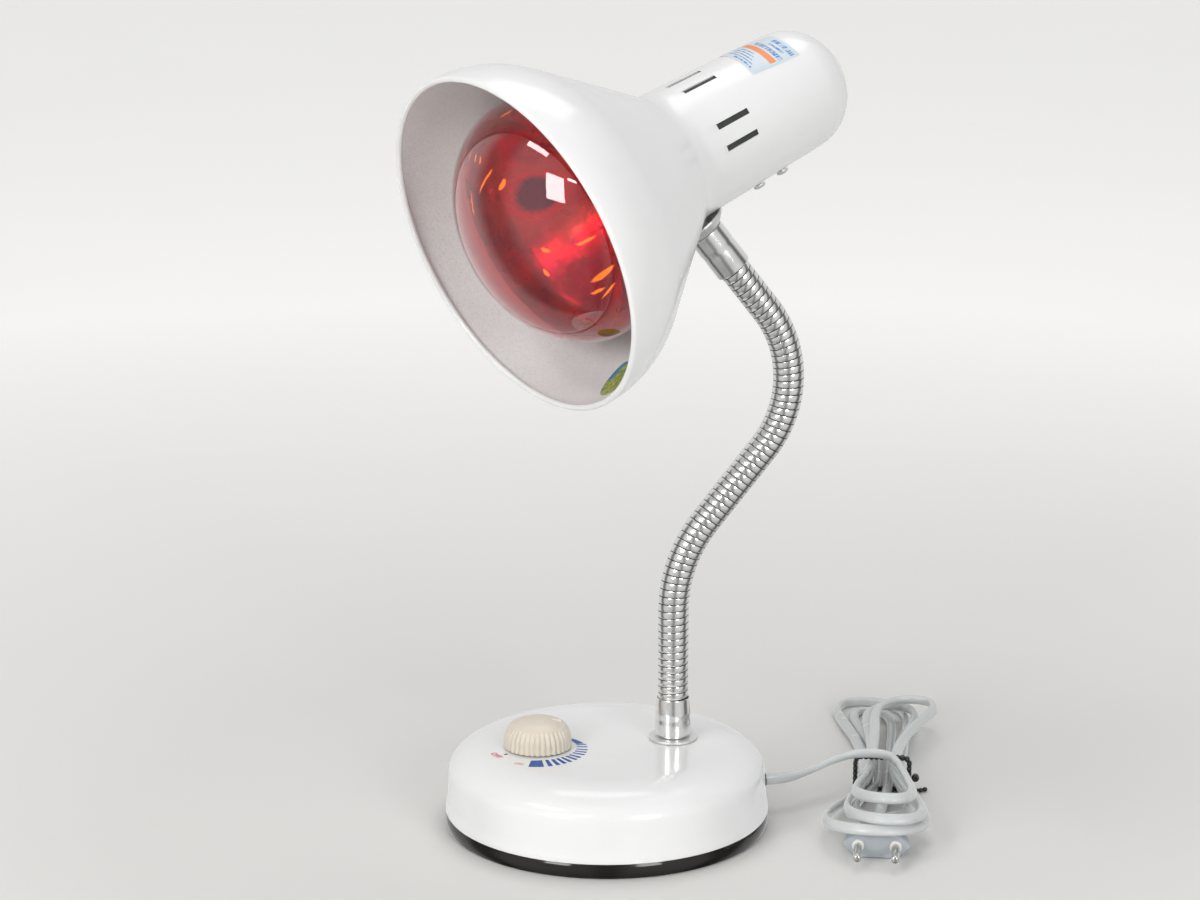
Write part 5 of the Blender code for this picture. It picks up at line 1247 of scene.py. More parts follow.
def shell_wall(inset):
    """The base shell's side and top, from its foot to the middle of its top, at an inset."""
    shoulder = BASE_RADIUS - SHELL_SHOULDER_INSET
    span = shoulder - SHELL_FLAT_RADIUS - inset
    rise = SHELL_TOP - SHELL_SHOULDER_HEIGHT - inset
    foot = PAN_SKIRT_TOP + GAP
    side = smooth_route(
        (
            (BASE_RADIUS - inset, 0.0, foot + SHELL_FOOT_HEIGHT),
            (BASE_RADIUS - SHELL_WAIST_INSET - inset, 0.0, SHELL_WAIST_HEIGHT),
            (shoulder - inset, 0.0, SHELL_SHOULDER_HEIGHT),
        ),
        SHELL_SPACING,
    )
    flat = (SHELL_FLAT_RADIUS, SHELL_SHOULDER_HEIGHT)
    corner = arc(flat, (span, rise), 0.0, QUARTER, SHELL_CORNER_STEPS)
    return [(point.x, point.z) for point in side[:-1]] + corner


class LAMP_OT_base(bpy.types.Operator):
    """Make the base's white shell and its dark glossy pan."""

    bl_idname = "lamp.base"
    bl_label = "Base"

    def execute(self, context):
        foot = PAN_SKIRT_TOP + GAP
        outer = shell_wall(0.0)
        inner = shell_wall(SHELL_WALL)
        edge = softened(
            (
                (BASE_RADIUS - SHELL_WALL, foot, 0.0),
                (BASE_RADIUS, foot, 0.0005),
                (BASE_RADIUS, foot + SHELL_FOOT_HEIGHT, 0.0),
            )
        )
        top = [(0.0, SHELL_TOP), (0.0, SHELL_TOP - SHELL_WALL)]
        outline = edge[:-1] + outer + top + inner[::-1]
        shell = lathed("base_cover", outline, SIDES_LARGE, ["moulding"], UPRIGHT)
        fit(shell, "base", "shell_white", "base_shell")
        skirt_rise = PAN_SKIRT_TOP - PAN_LIFT
        bulge = [
            (BASE_RADIUS - PAN_BULGE * (2.0 * share - 1.0) ** 2, PAN_LIFT + skirt_rise * share)
            for share in np.linspace(0.0, 1.0, PAN_ROWS)
        ]
        pan = [(0.0, PAD_TOP), (PAN_RECESS_RADIUS - PAN_RECESS_EDGE, PAD_TOP)]
        pan += [(PAN_RECESS_RADIUS, PAN_LIFT), *bulge]
        pan += [(PAN_RECESS_RADIUS, PAN_SKIRT_TOP), (PAN_RECESS_RADIUS, PAN_FLOOR_TOP), (0.0, PAN_FLOOR_TOP)]
        skirt = lathed("base_tray", pan, SIDES_LARGE, ["skirt"], UPRIGHT)
        fit(skirt, "base", "skirt_brown", "base_pan")
        return {"FINISHED"}


def sector(inner, outer, start, end, steps=6):
    """Points and faces of a thin flat ring sector, in degrees. A pair of radii runs from start to end."""
    turns = np.radians(np.linspace(start, end, steps + 1))
    inners, outers = (np.linspace(*np.broadcast_to(radii, 2), steps + 1) for radii in (inner, outer))
    low = SHELL_TOP + INK_LIFT
    edges = ((inners, low), (outers, low), (outers, low + INK_THICKNESS), (inners, low + INK_THICKNESS))
    rows = [ring(radii, turns, height) for radii, height in (*edges, edges[0])]
    columns = steps + 1
    faces = quads(len(rows), columns, closed=False)
    faces.append(tuple(row * columns for row in range(4)))
    faces.append(tuple(row * columns + steps for row in reversed(range(4))))
    return np.array(rows).reshape(-1, 3), faces


DIAL_INNER_RADIUS = 0.0205
DIAL_INNER_FALL = 0.0009
DIAL_BAR_ANGLES = (-87.4, -79.3, -71.5, -63.8, -55.4, -47.8, -38.5, -30.4, -22.0, -12.0, -3.5)
DIAL_BAR_WIDTHS = (4.6, 2.8)
DIAL_BAR_STEPS = 3
DIAL_STRONG_BARS = 7
DIAL_OUTER_RADII = (0.0296, 0.0246)
# Inner and outer radius, start and end in degrees, and steps of the block, the wedge and the dash
DIAL_BLOCK = ((0.021, DIAL_INNER_RADIUS), 0.0300, -109.0, -94.0, 6)
DIAL_WEDGE = ((0.0196, 0.0186), (0.0236, 0.0205), 0.5, 27.0, 12)
DIAL_DASH = (0.0187, 0.0205, -156.5, -152.5, 3)
# Each word: its piece, its letters, their size, its angle in degrees and its distance from the knob's axis
DIAL_WORDS = (("dial_off", "OFF", 0.0046, -159.0, 0.0243), ("dial_on", "ON", 0.0030, -120.5, 0.0270))


class LAMP_OT_dial(bpy.types.Operator):
    """Print the dimmer's scale on the base: a block, bars that thin out, a wedge, a dash, OFF and ON."""

    bl_idname = "lamp.dial"
    bl_label = "Dial print"

    def execute(self, context):
        bars = []
        for number, angle in enumerate(DIAL_BAR_ANGLES):
            share = number / (len(DIAL_BAR_ANGLES) - 1)
            half = (DIAL_BAR_WIDTHS[0] + (DIAL_BAR_WIDTHS[1] - DIAL_BAR_WIDTHS[0]) * share) / 2.0
            outer = DIAL_OUTER_RADII[0] + (DIAL_OUTER_RADII[1] - DIAL_OUTER_RADII[0]) * share
            inner = DIAL_INNER_RADIUS - DIAL_INNER_FALL * share
            bars.append(sector(inner, outer, angle - half, angle + half, DIAL_BAR_STEPS))
        for name, pieces, look in (
            ("dial_strong_bars", [sector(*DIAL_BLOCK), *bars[:DIAL_STRONG_BARS]], "blue_ink"),
            ("dial_fine_bars", bars[DIAL_STRONG_BARS:], "pale_ink"),
            ("dial_wedge", [sector(*DIAL_WEDGE)], "wedge_ink"),
            ("dial_dash", [sector(*DIAL_DASH)], "black_ink"),
        ):
            points, faces = joined(pieces)
            ink = made(name, moved(points, KNOB_FRAME), faces, [look])
            fit(ink, "base", "shell_white")
        for name, text, size, angle, reach in DIAL_WORDS:
            word = printed_word(name, text, size)
            turn = math.radians(angle)
            spot = Matrix.Translation((reach * math.cos(turn), reach * math.sin(turn), SHELL_TOP + INK_LIFT))
            word.data.transform(KNOB_FRAME @ spot @ Matrix.Rotation(turn + QUARTER, 4, "Z"))
            fit(word, "base", "shell_white")
        return {"FINISHED"}


def printed_word(name, text, size):
    """A short printed word as a flat mesh, its middle at the origin."""
    curve = bpy.data.curves.new(name + "_letters", "FONT")
    curve.body = text
    curve.size = size
    curve.extrude = INK_THICKNESS / 2.0
    curve.align_x = "CENTER"
    curve.align_y = "CENTER"
    holder = bpy.data.objects.new(name + "_letters", curve)
    bpy.context.scene.collection.objects.link(holder)
    bpy.context.view_layer.update()
    mesh = bpy.data.meshes.new_from_object(holder.evaluated_get(bpy.context.evaluated_depsgraph_get()))
    bpy.data.objects.remove(holder)
    mesh.name = name
    mesh.materials.clear()
    mesh.materials.append(FINISHES["red_ink"])
    obj = bpy.data.objects.new(name, mesh)
    bpy.context.scene.collection.objects.link(obj)
    return obj


def flowing(rows, steps):
    """A table's rows with smooth rows between them."""
    rows = np.asarray(rows, float)
    ends = np.vstack((2.0 * rows[0] - rows[1], rows, 2.0 * rows[-1] - rows[-2]))
    out = [rows[0]]
    for before, start, end, after in zip(ends, ends[1:], ends[2:], ends[3:]):
        for step in range(1, steps + 1):
            share = step / steps
            lean = 0.5 * (end - before), 0.5 * (after - start)
            near = 2.0 * share**3 - 3.0 * share**2 + 1.0
            curl = (share**3 - 2.0 * share**2 + share) * lean[0] + (share**3 - share**2) * lean[1]
            out.append(near * start + (1.0 - near) * end + curl)
    return np.array(out)


class LAMP_OT_knob(bpy.types.Operator):
    """Make the dimmer knob with its flutes, its smooth crown and its raised mark."""

    bl_idname = "lamp.knob"
    bl_label = "Dimmer knob"

    def execute(self, context):
        sizes = context.scene.lamp_sizes
        count = sizes.flute_count * KNOB_STEPS
        turns = np.arange(count) * WHOLE / count
        wave = (1.0 - np.abs(np.cos(turns * sizes.flute_count / 2.0))) ** KNOB_CREST
        inner = KNOB_RADIUS - KNOB_WALL
        ceiling = KNOB_BOTTOM + KNOB_CAVITY_HEIGHT
        hollow = ((0.0, ceiling), (inner, ceiling), (inner, KNOB_BOTTOM))
        rings = [ring(np.full(count, radius), turns, height) for radius, height in hollow]
        for radius_share, height_share, flute_share in flowing(KNOB_SHARES, KNOB_SMOOTH_STEPS):
            radii = max(radius_share, 0.0) * KNOB_RADIUS - sizes.flute_depth * max(flute_share, 0.0) * wave
            rings.append(ring(np.maximum(radii, 0.0), turns, KNOB_BOTTOM + KNOB_HEIGHT * height_share))
        points = moved(np.array(rings).reshape(-1, 3), KNOB_FRAME)
        knob = made("dimmer_grip", points, quads(len(rings), count), ["ivory"], sharp=KNOB_SHARP)
        fit(knob, "knob", "knob_ivory", "dimmer_knob")
        mark = self.mark()
        fit(mark, "knob", "knob_ivory")
        return {"FINISHED"}

    def mark(self):
        """The raised oblong mark near the edge of the knob's crown."""
        radius = POINTER_WIDTH / 2.0
        span = POINTER_LENGTH / 2.0 - radius
        turns = (np.arange(POINTER_SIDES) + 0.5) * WHOLE / POINTER_SIDES
        rows = []
        for share, rise in POINTER_SHARES:
            row = ring(np.full(POINTER_SIDES, radius * share), turns, rise)
            row[:, 0] += np.copysign(span, np.cos(turns))
            rows.append(row)
        top = KNOB_BOTTOM + KNOB_HEIGHT * POINTER_HEIGHT_SHARE
        spot = KNOB_FRAME @ Matrix.Rotation(KNOB_REST_TURN, 4, "Z")
        spot = spot @ Matrix.Translation((POINTER_DISTANCE, 0.0, top)) @ Matrix.Rotation(POINTER_LEAN, 4, "Y")
        return made("dimmer_mark", moved(np.array(rows).reshape(-1, 3), spot), swept(rows), ["ivory"])


class LAMP_OT_grommet(bpy.types.Operator):
    """Make the thin rubber grommet where the cord leaves the base."""

    bl_idname = "lamp.grommet"
    bl_label = "Cord grommet"

    def execute(self, context):
        low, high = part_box("cord_grommet")
        outer = high.x
        wall = outer - GROMMET_FLANGE
        bore = CORD_CORE_RADIUS + GAP
        outline = softened(
            (
                (bore, wall - GROMMET_BODY_LENGTH, 0.0),
                (GROMMET_BODY_RADIUS, wall - GROMMET_BODY_LENGTH, 0.0),
                (GROMMET_BODY_RADIUS, wall, 0.0),
                (GROMMET_RADIUS, wall, 0.0),
                (GROMMET_RADIUS, outer, 0.0006),
                (bore, outer, 0.0003),
                (bore, wall - GROMMET_BODY_LENGTH, 0.0),
            )
        )
        spot = Matrix.Translation((0.0, 0.0, (low.z + high.z) / 2.0)) @ Matrix.Rotation(QUARTER, 4, "Y")
        grommet = lathed("exit_grommet", outline[:-1], SIDES_SMALL, ["black"], spot)
        fit(grommet, "base", "black_plastic", "cord_grommet")
        return {"FINISHED"}


# Neck


def ferrule_outline(length, radius, bottom_radius, top_radius):
    """A crimped ferrule from its bottom at zero, with a mouth for the hose at its top."""
    waist = length * FERRULE_CRIMP_SHARE
    return softened(
        (
            (BORE_RADIUS, 0.0, 0.0),
            (bottom_radius, 0.0, 0.0003),
            (bottom_radius, FERRULE_RECESS_HEIGHT, 0.0),
            (radius, FERRULE_RECESS_HEIGHT, 0.0004),
            (radius, waist - FERRULE_CRIMP_WIDTH, 0.0006),
            (radius - FERRULE_CRIMP_DEPTH, waist - 0.0004, 0.0004),
            (radius - FERRULE_CRIMP_DEPTH, waist + 0.0004, 0.0004),
            (radius - 0.0001, waist + FERRULE_CRIMP_WIDTH, 0.0006),
            (top_radius, length, 0.0004),
            (FERRULE_MOUTH_RADIUS, length, 0.0002),
            (FERRULE_MOUTH_RADIUS, length - FERRULE_MOUTH_DEPTH, 0.0),
            (BORE_RADIUS, length - FERRULE_MOUTH_DEPTH, 0.0),
        )
    )


class LAMP_OT_neck_ends(bpy.types.Operator):
    """Make the washers and crimped ferrules at both ends of the neck."""

    bl_idname = "lamp.neck_ends"
    bl_label = "Neck ends"

    def execute(self, context):
        bottom = SHELL_TOP + GAP
        top = bottom + FOOT_WASHER_THICKNESS
        washer = softened(
            (
                (BORE_RADIUS, bottom, 0.0),
                (FOOT_WASHER_RADIUS, bottom, 0.0002),
                (FOOT_WASHER_RADIUS, top, 0.0005),
                (BORE_RADIUS, top, 0.0),
            )
        )
        plate = lathed("foot_plate", washer, SIDES_MEDIUM, ["zinc"], FOOT_FRAME)
        fit(plate, "base", "zinc_plate", "foot_washer")
        outline = ferrule_outline(FERRULE_LENGTH, FERRULE_RADIUS, FERRULE_RECESS_RADIUS, FERRULE_TOP_RADIUS)
        spot = FOOT_FRAME @ Matrix.Translation((0.0, 0.0, FERRULE_BOTTOM))
        ferrule = lathed("foot_collar", outline, SIDES_MEDIUM, ["chrome"], spot)
        fit(ferrule, "base", "neck_chrome", "foot_ferrule")
        radius = UPPER_FERRULE_RADIUS
        outline = ferrule_outline(UPPER_FERRULE_LENGTH, radius, radius, radius)
        flipped = NECK_END @ Matrix.Translation((0.0, 0.0, UPPER_FERRULE_LENGTH))
        flipped = flipped @ Matrix.Rotation(math.pi, 4, "X")
        ferrule = lathed("head_collar", outline, SIDES_MEDIUM, ["chrome"], flipped)
        fit(ferrule, "head", "neck_chrome", "head_ferrule")
        return {"FINISHED"}


def hose_stations(first, last, sides, origin, depth):
    """The hose's winding between two stations: points, faces and which faces are groove, dark with painted
    shade.
    """
    shares = list(BAND_SHARES) + [(1.0, 1.0)]
    points, faces, marks = [], [], []
    columns = len(shares)
    for station in range(first, last + 1):
        turn = WHOLE * (station % sides) / sides
        for pitch_share, groove in shares:
            along = origin + RIB_PITCH * (station / sides + pitch_share)
            radius = RIB_RADIUS - depth * groove
            spot = neck_frame(along) @ Vector((radius * math.cos(turn), radius * math.sin(turn), 0.0))
            points.append(tuple(spot))
    for row in range(last - first):
        for column in range(columns - 1):
            start = row * columns + column
            faces.append((start, start + columns, start + columns + 1, start + 1))
            # The first and last columns of each band are the groove, which takes the painted shade
            marks.append(int(column in (0, columns - 2)))
    return points, faces, marks


class LAMP_OT_neck(bpy.types.Operator):
    """Wind the hose in six lengths, each spanning one joint, with the lead inside."""

    bl_idname = "lamp.neck"
    bl_label = "Gooseneck"

    def execute(self, context):
        depth = context.scene.lamp_sizes.groove_depth
        spans = section_spans()
        origin = HOSE_START_SHARE * RIB_PITCH
        middles = [(start + end) / 2.0 for start, end in spans[2:-1:2]]
        reach = NECK_LENGTH + HOSE_END_SHARE * RIB_PITCH
        cuts = [0] + [round((middle - origin) / RIB_PITCH) * HOSE_SIDES for middle in middles]
        cuts.append(round((reach - origin) / RIB_PITCH) * HOSE_SIDES)
        lead = self.lead_route()
        for number in range(NECK_BENDS):
            points, faces, marks = hose_stations(cuts[number], cuts[number + 1], HOSE_SIDES, origin, depth)
            hose = made(f"hose_{number + 1}", points, faces, ["chrome", "groove"], marks)
            nodes = [f"neck_section_{number + 1}", f"neck_bend_{number + 1}"]
            if number == NECK_BENDS - 1:
                nodes.append(f"neck_section_{NECK_BENDS + 1}")
            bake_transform(hose)
            stand_for(hose, "neck_chrome", *nodes)
            rings = carried_rings(self.lead_part(lead, number), LEAD_RADIUS, LEAD_SIDES)
            wire = made(f"lead_{number + 1}", rings.reshape(-1, 3), swept(rings), ["lead"])
            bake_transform(wire)
            stand_for(wire, "lead_silicone", "lamp_lead")
        return {"FINISHED"}

    def lead_route(self):
        """The lead's stretches in the base and in the head, either side of the neck."""
        foot = [
            Vector((LEAD_START_X, 0.0, LEAD_HEIGHT)),
            Vector((NECK_OFFSET, 0.0, LEAD_HEIGHT)),
            Vector((NECK_OFFSET, 0.0, LEAD_RISE_TO)),
        ]
        crossing = HEAD_REACH - LEAD_RING_RADIUS / math.cos(HEAD_TILT)
        depth = HEAD_DEPTH + math.sin(HEAD_TILT) * (HEAD_REACH - crossing)
        head = [
            NECK_END @ Vector((0.0, 0.0, LEAD_NIPPLE_START)),
            HEAD @ Vector((-LEAD_RING_RADIUS, 0.0, depth)),
            HEAD @ Vector((-LEAD_RING_RADIUS, 0.0, LEAD_END_DEPTH)),
            HEAD @ Vector((-LEAD_END_RADIUS, 0.0, LEAD_END_DEPTH)),
        ]
        return rounded(foot, LEAD_CORNER), rounded(head, LEAD_CORNER)

    def lead_part(self, lead, number):
        """The stretch of the lead inside one length of the hose."""
        spans = section_spans()
        starts = [0.0] + [sum(spans[place]) / 2.0 for place in range(2, 2 * NECK_BENDS, 2)] + [NECK_LENGTH]
        first, last = starts[number], starts[number + 1]
        shares = [step / LEAD_SPAN_STEPS for step in range(LEAD_SPAN_STEPS + 1)]
        inside = [neck_frame(first + (last - first) * share).translation for share in shares]
        if number == 0:
            inside = lead[0] + inside
        if number == NECK_BENDS - 1:
            inside = inside + lead[1]
        return inside


# Head


def shade_wall(offset, fine=1):
    """The shade's side from behind its rim to the end of its back's rounding, at an offset inside."""
    points = []
    heading = 0.0
    spot = (SHADE_RADIUS, SHADE_LIP)

    def keep():
        points.append((spot[0] - offset * math.cos(heading), spot[1] - offset * math.sin(heading)))

    def bend(radius, target, steps, way):
        nonlocal heading, spot
        start = heading
        origin = spot
        for step in range(1, steps + 1):
            heading = start + (target - start) * step / steps
            fall = radius * way * (math.cos(start) - math.cos(heading))
            run = radius * way * (math.sin(heading) - math.sin(start))
            spot = (origin[0] - fall, origin[1] + run)
            keep()

    keep()
    bend(SHADE_DISH_RADIUS, SHADE_SLOPE, 12 * fine, 1.0)
    cone_end = HOUSING_RADIUS + SHADE_FILLET * (math.cos(HOUSING_TAPER) - math.cos(SHADE_SLOPE))
    spot = (cone_end, spot[1] + (spot[0] - cone_end) / math.tan(SHADE_SLOPE))
    keep()
    bend(SHADE_FILLET, HOUSING_TAPER, 10 * fine, -1.0)
    straight = spot
    for depth in (VENT_START, VENT_START + VENT_LENGTH):
        share = (depth - straight[1]) / (HOUSING_STRAIGHT_END - straight[1])
        spot = (straight[0] + (HOUSING_END_RADIUS - straight[0]) * share, depth)
        keep()
    spot = (HOUSING_END_RADIUS, HOUSING_STRAIGHT_END)
    keep()
    bend(HOUSING_ROUNDING, QUARTER, 12 * fine, 1.0)
    points.append((0.0, spot[1] - offset))
    return points


def housing_radius(depth):
    """The housing's outer radius at a depth along its straight part."""
    wall = shade_wall(0.0)
    return float(np.interp(depth, [height for _, height in wall], [radius for radius, _ in wall]))


def vent_spans():
    """The start and end angle of each vent."""
    half = math.asin(VENT_WIDTH / 2.0 / housing_radius(VENT_START + VENT_LENGTH / 2.0))
    ways = (-VENT_HALF_SPACING, VENT_HALF_SPACING)
    middles = [pair + HEAD_FITTING_TURN + way for pair in VENT_PAIR_ANGLES for way in ways]
    return sorted((math.radians(middle) - half, math.radians(middle) + half) for middle in middles)


def shade_turns(step=math.radians(2.6)):
    """Angles round the shade that fall on every vent's edges, and the columns that are open."""
    turns, gaps = [], []
    spans = vent_spans()
    for number, (start, end) in enumerate(spans):
        gaps.append(len(turns))
        turns.append(start)
        after = spans[(number + 1) % len(spans)][0]
        after = after if after > end else after + WHOLE
        count = max(1, math.ceil((after - end) / step))
        turns += [end + (after - end) * place / count for place in range(count)]
    return np.array(turns), gaps


class LAMP_OT_shade(bpy.types.Operator):
    """Spin the shade with its rolled rim and pierce the vents of its housing."""

    bl_idname = "lamp.shade"
    bl_label = "Shade"

    def execute(self, context):
        outer = shade_wall(0.0)
        inner = shade_wall(SHADE_WALL)
        bead = (SHADE_RADIUS - SHADE_BEAD_RADIUS, SHADE_BEAD_RADIUS)
        radii = (SHADE_BEAD_RADIUS, SHADE_BEAD_RADIUS)
        rim = arc(bead, radii, math.radians(-240.0), 0.0, 14)
        outline = rim + outer + inner[::-1] + [rim[0]]
        turns, gaps = shade_turns()
        columns = len(turns)
        points = moved(lathe_points(outline, turns), HEAD)
        row = len(rim) + [abs(depth - VENT_START) < WELD for _, depth in outer].index(True)
        mirror = 2 * (len(rim) + len(outer)) - len(rim) - 1 - row - 1
        skip = {(place, column) for place in (row, mirror) for column in gaps}
        faces = quads(len(outline), columns, skip=skip)
        inside = len(rim) + len(outer)
        # Outer faces take the enamel; inner faces take the lining in front of the housing and painted shade
        # inside it
        looks = [
            (1 if outline[place][1] < HOUSING_START else 2) if place >= inside - 1 else 0
            for place in range(len(outline) - 1)
        ]
        marks = []
        for place, look in enumerate(looks):
            marks += [look] * sum((place, column) not in skip for column in range(columns))
        for column in gaps:
            near = [line * columns + column for line in (row, row + 1, mirror, mirror + 1)]
            far = [line * columns + (column + 1) % columns for line in (row, row + 1, mirror, mirror + 1)]
            faces += [tuple(near), tuple(reversed(far))]
            faces += [(near[0], near[3], far[3], far[0]), (near[1], far[1], far[2], near[2])]
            marks += [0] * 4
        shade = made("shade_spun", points, faces, ["enamel", "lining", "soot"], marks)
        fit(shade, "head", "shade_paint", "shade")
        return {"FINISHED"}


LABEL_CORNERS = ((0.154, -5.0), (0.149, 53.0), (0.179, 57.0), (0.180, 15.0))
LABEL_LIFT = 0.00012
# Each line of marks: its two heights on the label, the marks' pitch, and where it starts and ends
LABEL_ROWS = (
    (0.84, 0.93, 40.0, 0.30, 0.94),
    (0.74, 0.79, 70.0, 0.38, 0.80),
    (0.59, 0.68, 48.0, 0.14, 0.94),
    (0.33, 0.36, 90.0, 0.16, 0.55),
    (0.26, 0.29, 90.0, 0.12, 0.66),
    (0.19, 0.22, 90.0, 0.20, 0.72),
    (0.12, 0.15, 90.0, 0.16, 0.80),
    (0.05, 0.09, 55.0, 0.40, 0.86),
)
FOIL_SPOT = (0.0245, -176.5)
FOIL_RADII = (0.0105, 0.0080)
LABEL_GRID = (13, 25)
FOIL_GRID = (7, 37)


def label_look():
    """The label's print: a pale ground, an orange band and rows of unreadable marks."""
    look = Finish("label_print", (0.70, 0.76, 0.80), 0.35)
    places = look.node("ShaderNodeUVMap", uv_map="print").outputs["UV"]
    across, along, _ = look.parts(places)

    def between(value, low, high):
        above = look.math("GREATER_THAN", value, low)
        return look.math("MULTIPLY", above, look.math("LESS_THAN", value, high))

    def row(low, high, pitch, start, end):
        """A line of unreadable marks."""
        marks = look.flat_noise(places, (pitch, 6.0), 1.0, 37.0 * low)
        field = look.math("MULTIPLY", between(along, low, high), between(across, start, end))
        return look.math("MULTIPLY", field, look.math("GREATER_THAN", marks, 0.45))

    words = row(*LABEL_ROWS[0])
    for line in LABEL_ROWS[1:]:
        words = look.math("MAXIMUM", words, row(*line))
    band = look.math("MULTIPLY", between(along, 0.42, 0.545), between(across, 0.03, 0.93))
    cloud = look.spread(look.noise(60.0), 0.0, 1.0, 0.3, 0.7)
    ground = look.mix(cloud, (0.58, 0.66, 0.72), look.colour)
    inked = look.mix(words, ground, (0.07, 0.24, 0.55))
    look.paint(look.mix(band, inked, (0.86, 0.26, 0.08)))
    look.polished(400.0, 0.06)
    return look.material


def foil_look():
    """The foil oval: green and gold with a blue end."""
    look = Finish("foil_print", (0.30, 0.42, 0.12), 0.22, 0.6)
    across, _, _ = look.parts(look.node("ShaderNodeUVMap", uv_map="print").outputs["UV"])
    wave = look.math("ADD", across, look.spread(look.noise(260.0, 2.0), -0.25, 0.25, 0.3, 0.7))
    cloud = look.spread(look.noise(500.0, 2.0), 0.0, 1.0, 0.42, 0.58)
    ground = look.mix(cloud, (0.22, 0.45, 0.06), (0.72, 0.68, 0.12))
    look.paint(look.mix(look.spread(wave, 0.0, 1.0, 0.72, 0.84), ground, (0.10, 0.36, 0.62)))
    look.polished(300.0, 0.08)
    return look.material


def patch(name, rows, look, places):
    """A thin sheet through rows of points, each with its place on the print."""
    rows = np.asarray(rows, float)
    count, columns = rows.shape[:2]
    obj = made(name, rows.reshape(-1, 3), quads(count, columns, closed=False), [])
    obj.data.materials.append(look)
    layer = obj.data.uv_layers.new(name="print")
    spots = np.asarray(places, float).reshape(-1, 2)
    for loop in obj.data.loops:
        layer.data[loop.index].uv = spots[loop.vertex_index]
    return obj


class LAMP_OT_marks(bpy.types.Operator):
    """Stick the plain label on the housing and the foil oval inside the shade."""

    bl_idname = "lamp.marks"
    bl_label = "Label and foil"

    def execute(self, context):
        rows, places = [], []
        corners = [np.array(corner) for corner in LABEL_CORNERS]
        for down in np.linspace(0.0, 1.0, LABEL_GRID[0]):
            row, place = [], []
            for across in np.linspace(0.0, 1.0, LABEL_GRID[1]):
                near = corners[0] + (corners[1] - corners[0]) * across
                far = corners[3] + (corners[2] - corners[3]) * across
                depth, angle = near + (far - near) * down
                radius = housing_radius(depth) + LABEL_LIFT
                turn = math.radians(angle)
                row.append((radius * math.cos(turn), radius * math.sin(turn), depth))
                place.append((across, down))
            rows.append(row)
            places.append(place)
        points = moved(np.array(rows).reshape(-1, 3), HEAD).reshape(*LABEL_GRID, 3)
        label = patch("housing_label", points, label_look(), places)
        fit(label, "head", "shade_paint")
        inner = shade_wall(SHADE_WALL + LABEL_LIFT)[:-1]
        depths = [depth for _, depth in inner]
        radii = [radius for radius, _ in inner]
        rows, places = [], []
        for ring in np.linspace(0.02, 1.0, FOIL_GRID[0]):
            row, place = [], []
            for turn in np.linspace(0.0, WHOLE, FOIL_GRID[1]):
                depth = FOIL_SPOT[0] + FOIL_RADII[0] * ring * math.cos(turn)
                radius = float(np.interp(depth, depths, radii))
                angle = math.radians(FOIL_SPOT[1]) + FOIL_RADII[1] * ring * math.sin(turn) / radius
                row.append((radius * math.cos(angle), radius * math.sin(angle), depth))
                place.append((0.5 + 0.5 * ring * math.cos(turn), 0.5 + 0.5 * ring * math.sin(turn)))
            rows.append(row)
            places.append(place)
        points = moved(np.array(rows).reshape(-1, 3), HEAD).reshape(*FOIL_GRID, 3)
        foil = patch("foil_oval", points, foil_look(), places)
        fit(foil, "head", "shade_paint")
        return {"FINISHED"}


class LAMP_OT_screws(bpy.types.Operator):
    """Make the two bracket screws on the housing."""

    bl_idname = "lamp.screws"
    bl_label = "Housing screws"

    def execute(self, context):
        around = Matrix.Rotation(math.radians(180.0 + HEAD_FITTING_TURN), 4, "Z")
        around = around @ Matrix.Rotation(QUARTER, 4, "Y")
        for number, depth in enumerate(SCREW_DEPTHS, 1):
            seat = housing_radius(depth) + GAP
            spot = HEAD @ Matrix.Translation((0.0, 0.0, depth)) @ around
            spot = spot @ Matrix.Translation((0.0, 0.0, seat))
            outline = softened(
                (
                    (0.0, -SCREW_SHANK_LENGTH, 0.0),
                    (SCREW_SHANK_RADIUS, -SCREW_SHANK_LENGTH, 0.0002),
                    (SCREW_SHANK_RADIUS, 0.0, 0.0),
                    (SCREW_HEAD_RADIUS, 0.0, 0.0002),
                    (SCREW_HEAD_RADIUS * 0.92, SCREW_HEAD_HEIGHT * 0.7, 0.0007),
                    (0.0012, SCREW_HEAD_HEIGHT, 0.0),
                    (0.0008, SCREW_HEAD_HEIGHT * 0.5, 0.0),
                    (0.0, SCREW_HEAD_HEIGHT * 0.45, 0.0),
                )
            )
            screw = lathed(f"housing_screw_{number}", outline, SIDES_SMALL, ["zinc"], spot)
            fit(screw, "head", "zinc_plate", f"bracket_screw_{number}")
        return {"FINISHED"}


def bulb_wall(offset):
    """The bulb's side from its neck's end to the middle of its front, at an offset inside its outer face."""
    shoulder = BULB_FRONT + BULB_FRONT_DEPTH
    front = arc((0.0, shoulder), (BULB_RADIUS - offset, BULB_FRONT_DEPTH - offset), 0.0, -QUARTER, 30)
    back_centre = (BULB_RADIUS - BULB_SHOULDER_RADIUS, shoulder)
    radius = BULB_SHOULDER_RADIUS - offset
    back = arc(back_centre, (radius, radius), BULB_SLOPE, 0.0, 10)
    cone_radius, cone_depth = back[0]
    neck = BULB_NECK_RADIUS - offset
    neck_start = cone_depth + (cone_radius - neck) / math.tan(BULB_SLOPE)
    collar = BULB_COLLAR_RADIUS - offset
    side = softened(
        (
            (collar, BULB_COLLAR_END, 0.0),
            (collar, BULB_COLLAR_START, 0.002),
            (neck, BULB_NECK_END, 0.004),
            (neck, neck_start, 0.008),
            (cone_radius, cone_depth, 0.0),
        )
    )
    return [tuple(point) for point in side[:-1]] + back[:-1] + front[:-1] + [(0.0, front[-1][1])]


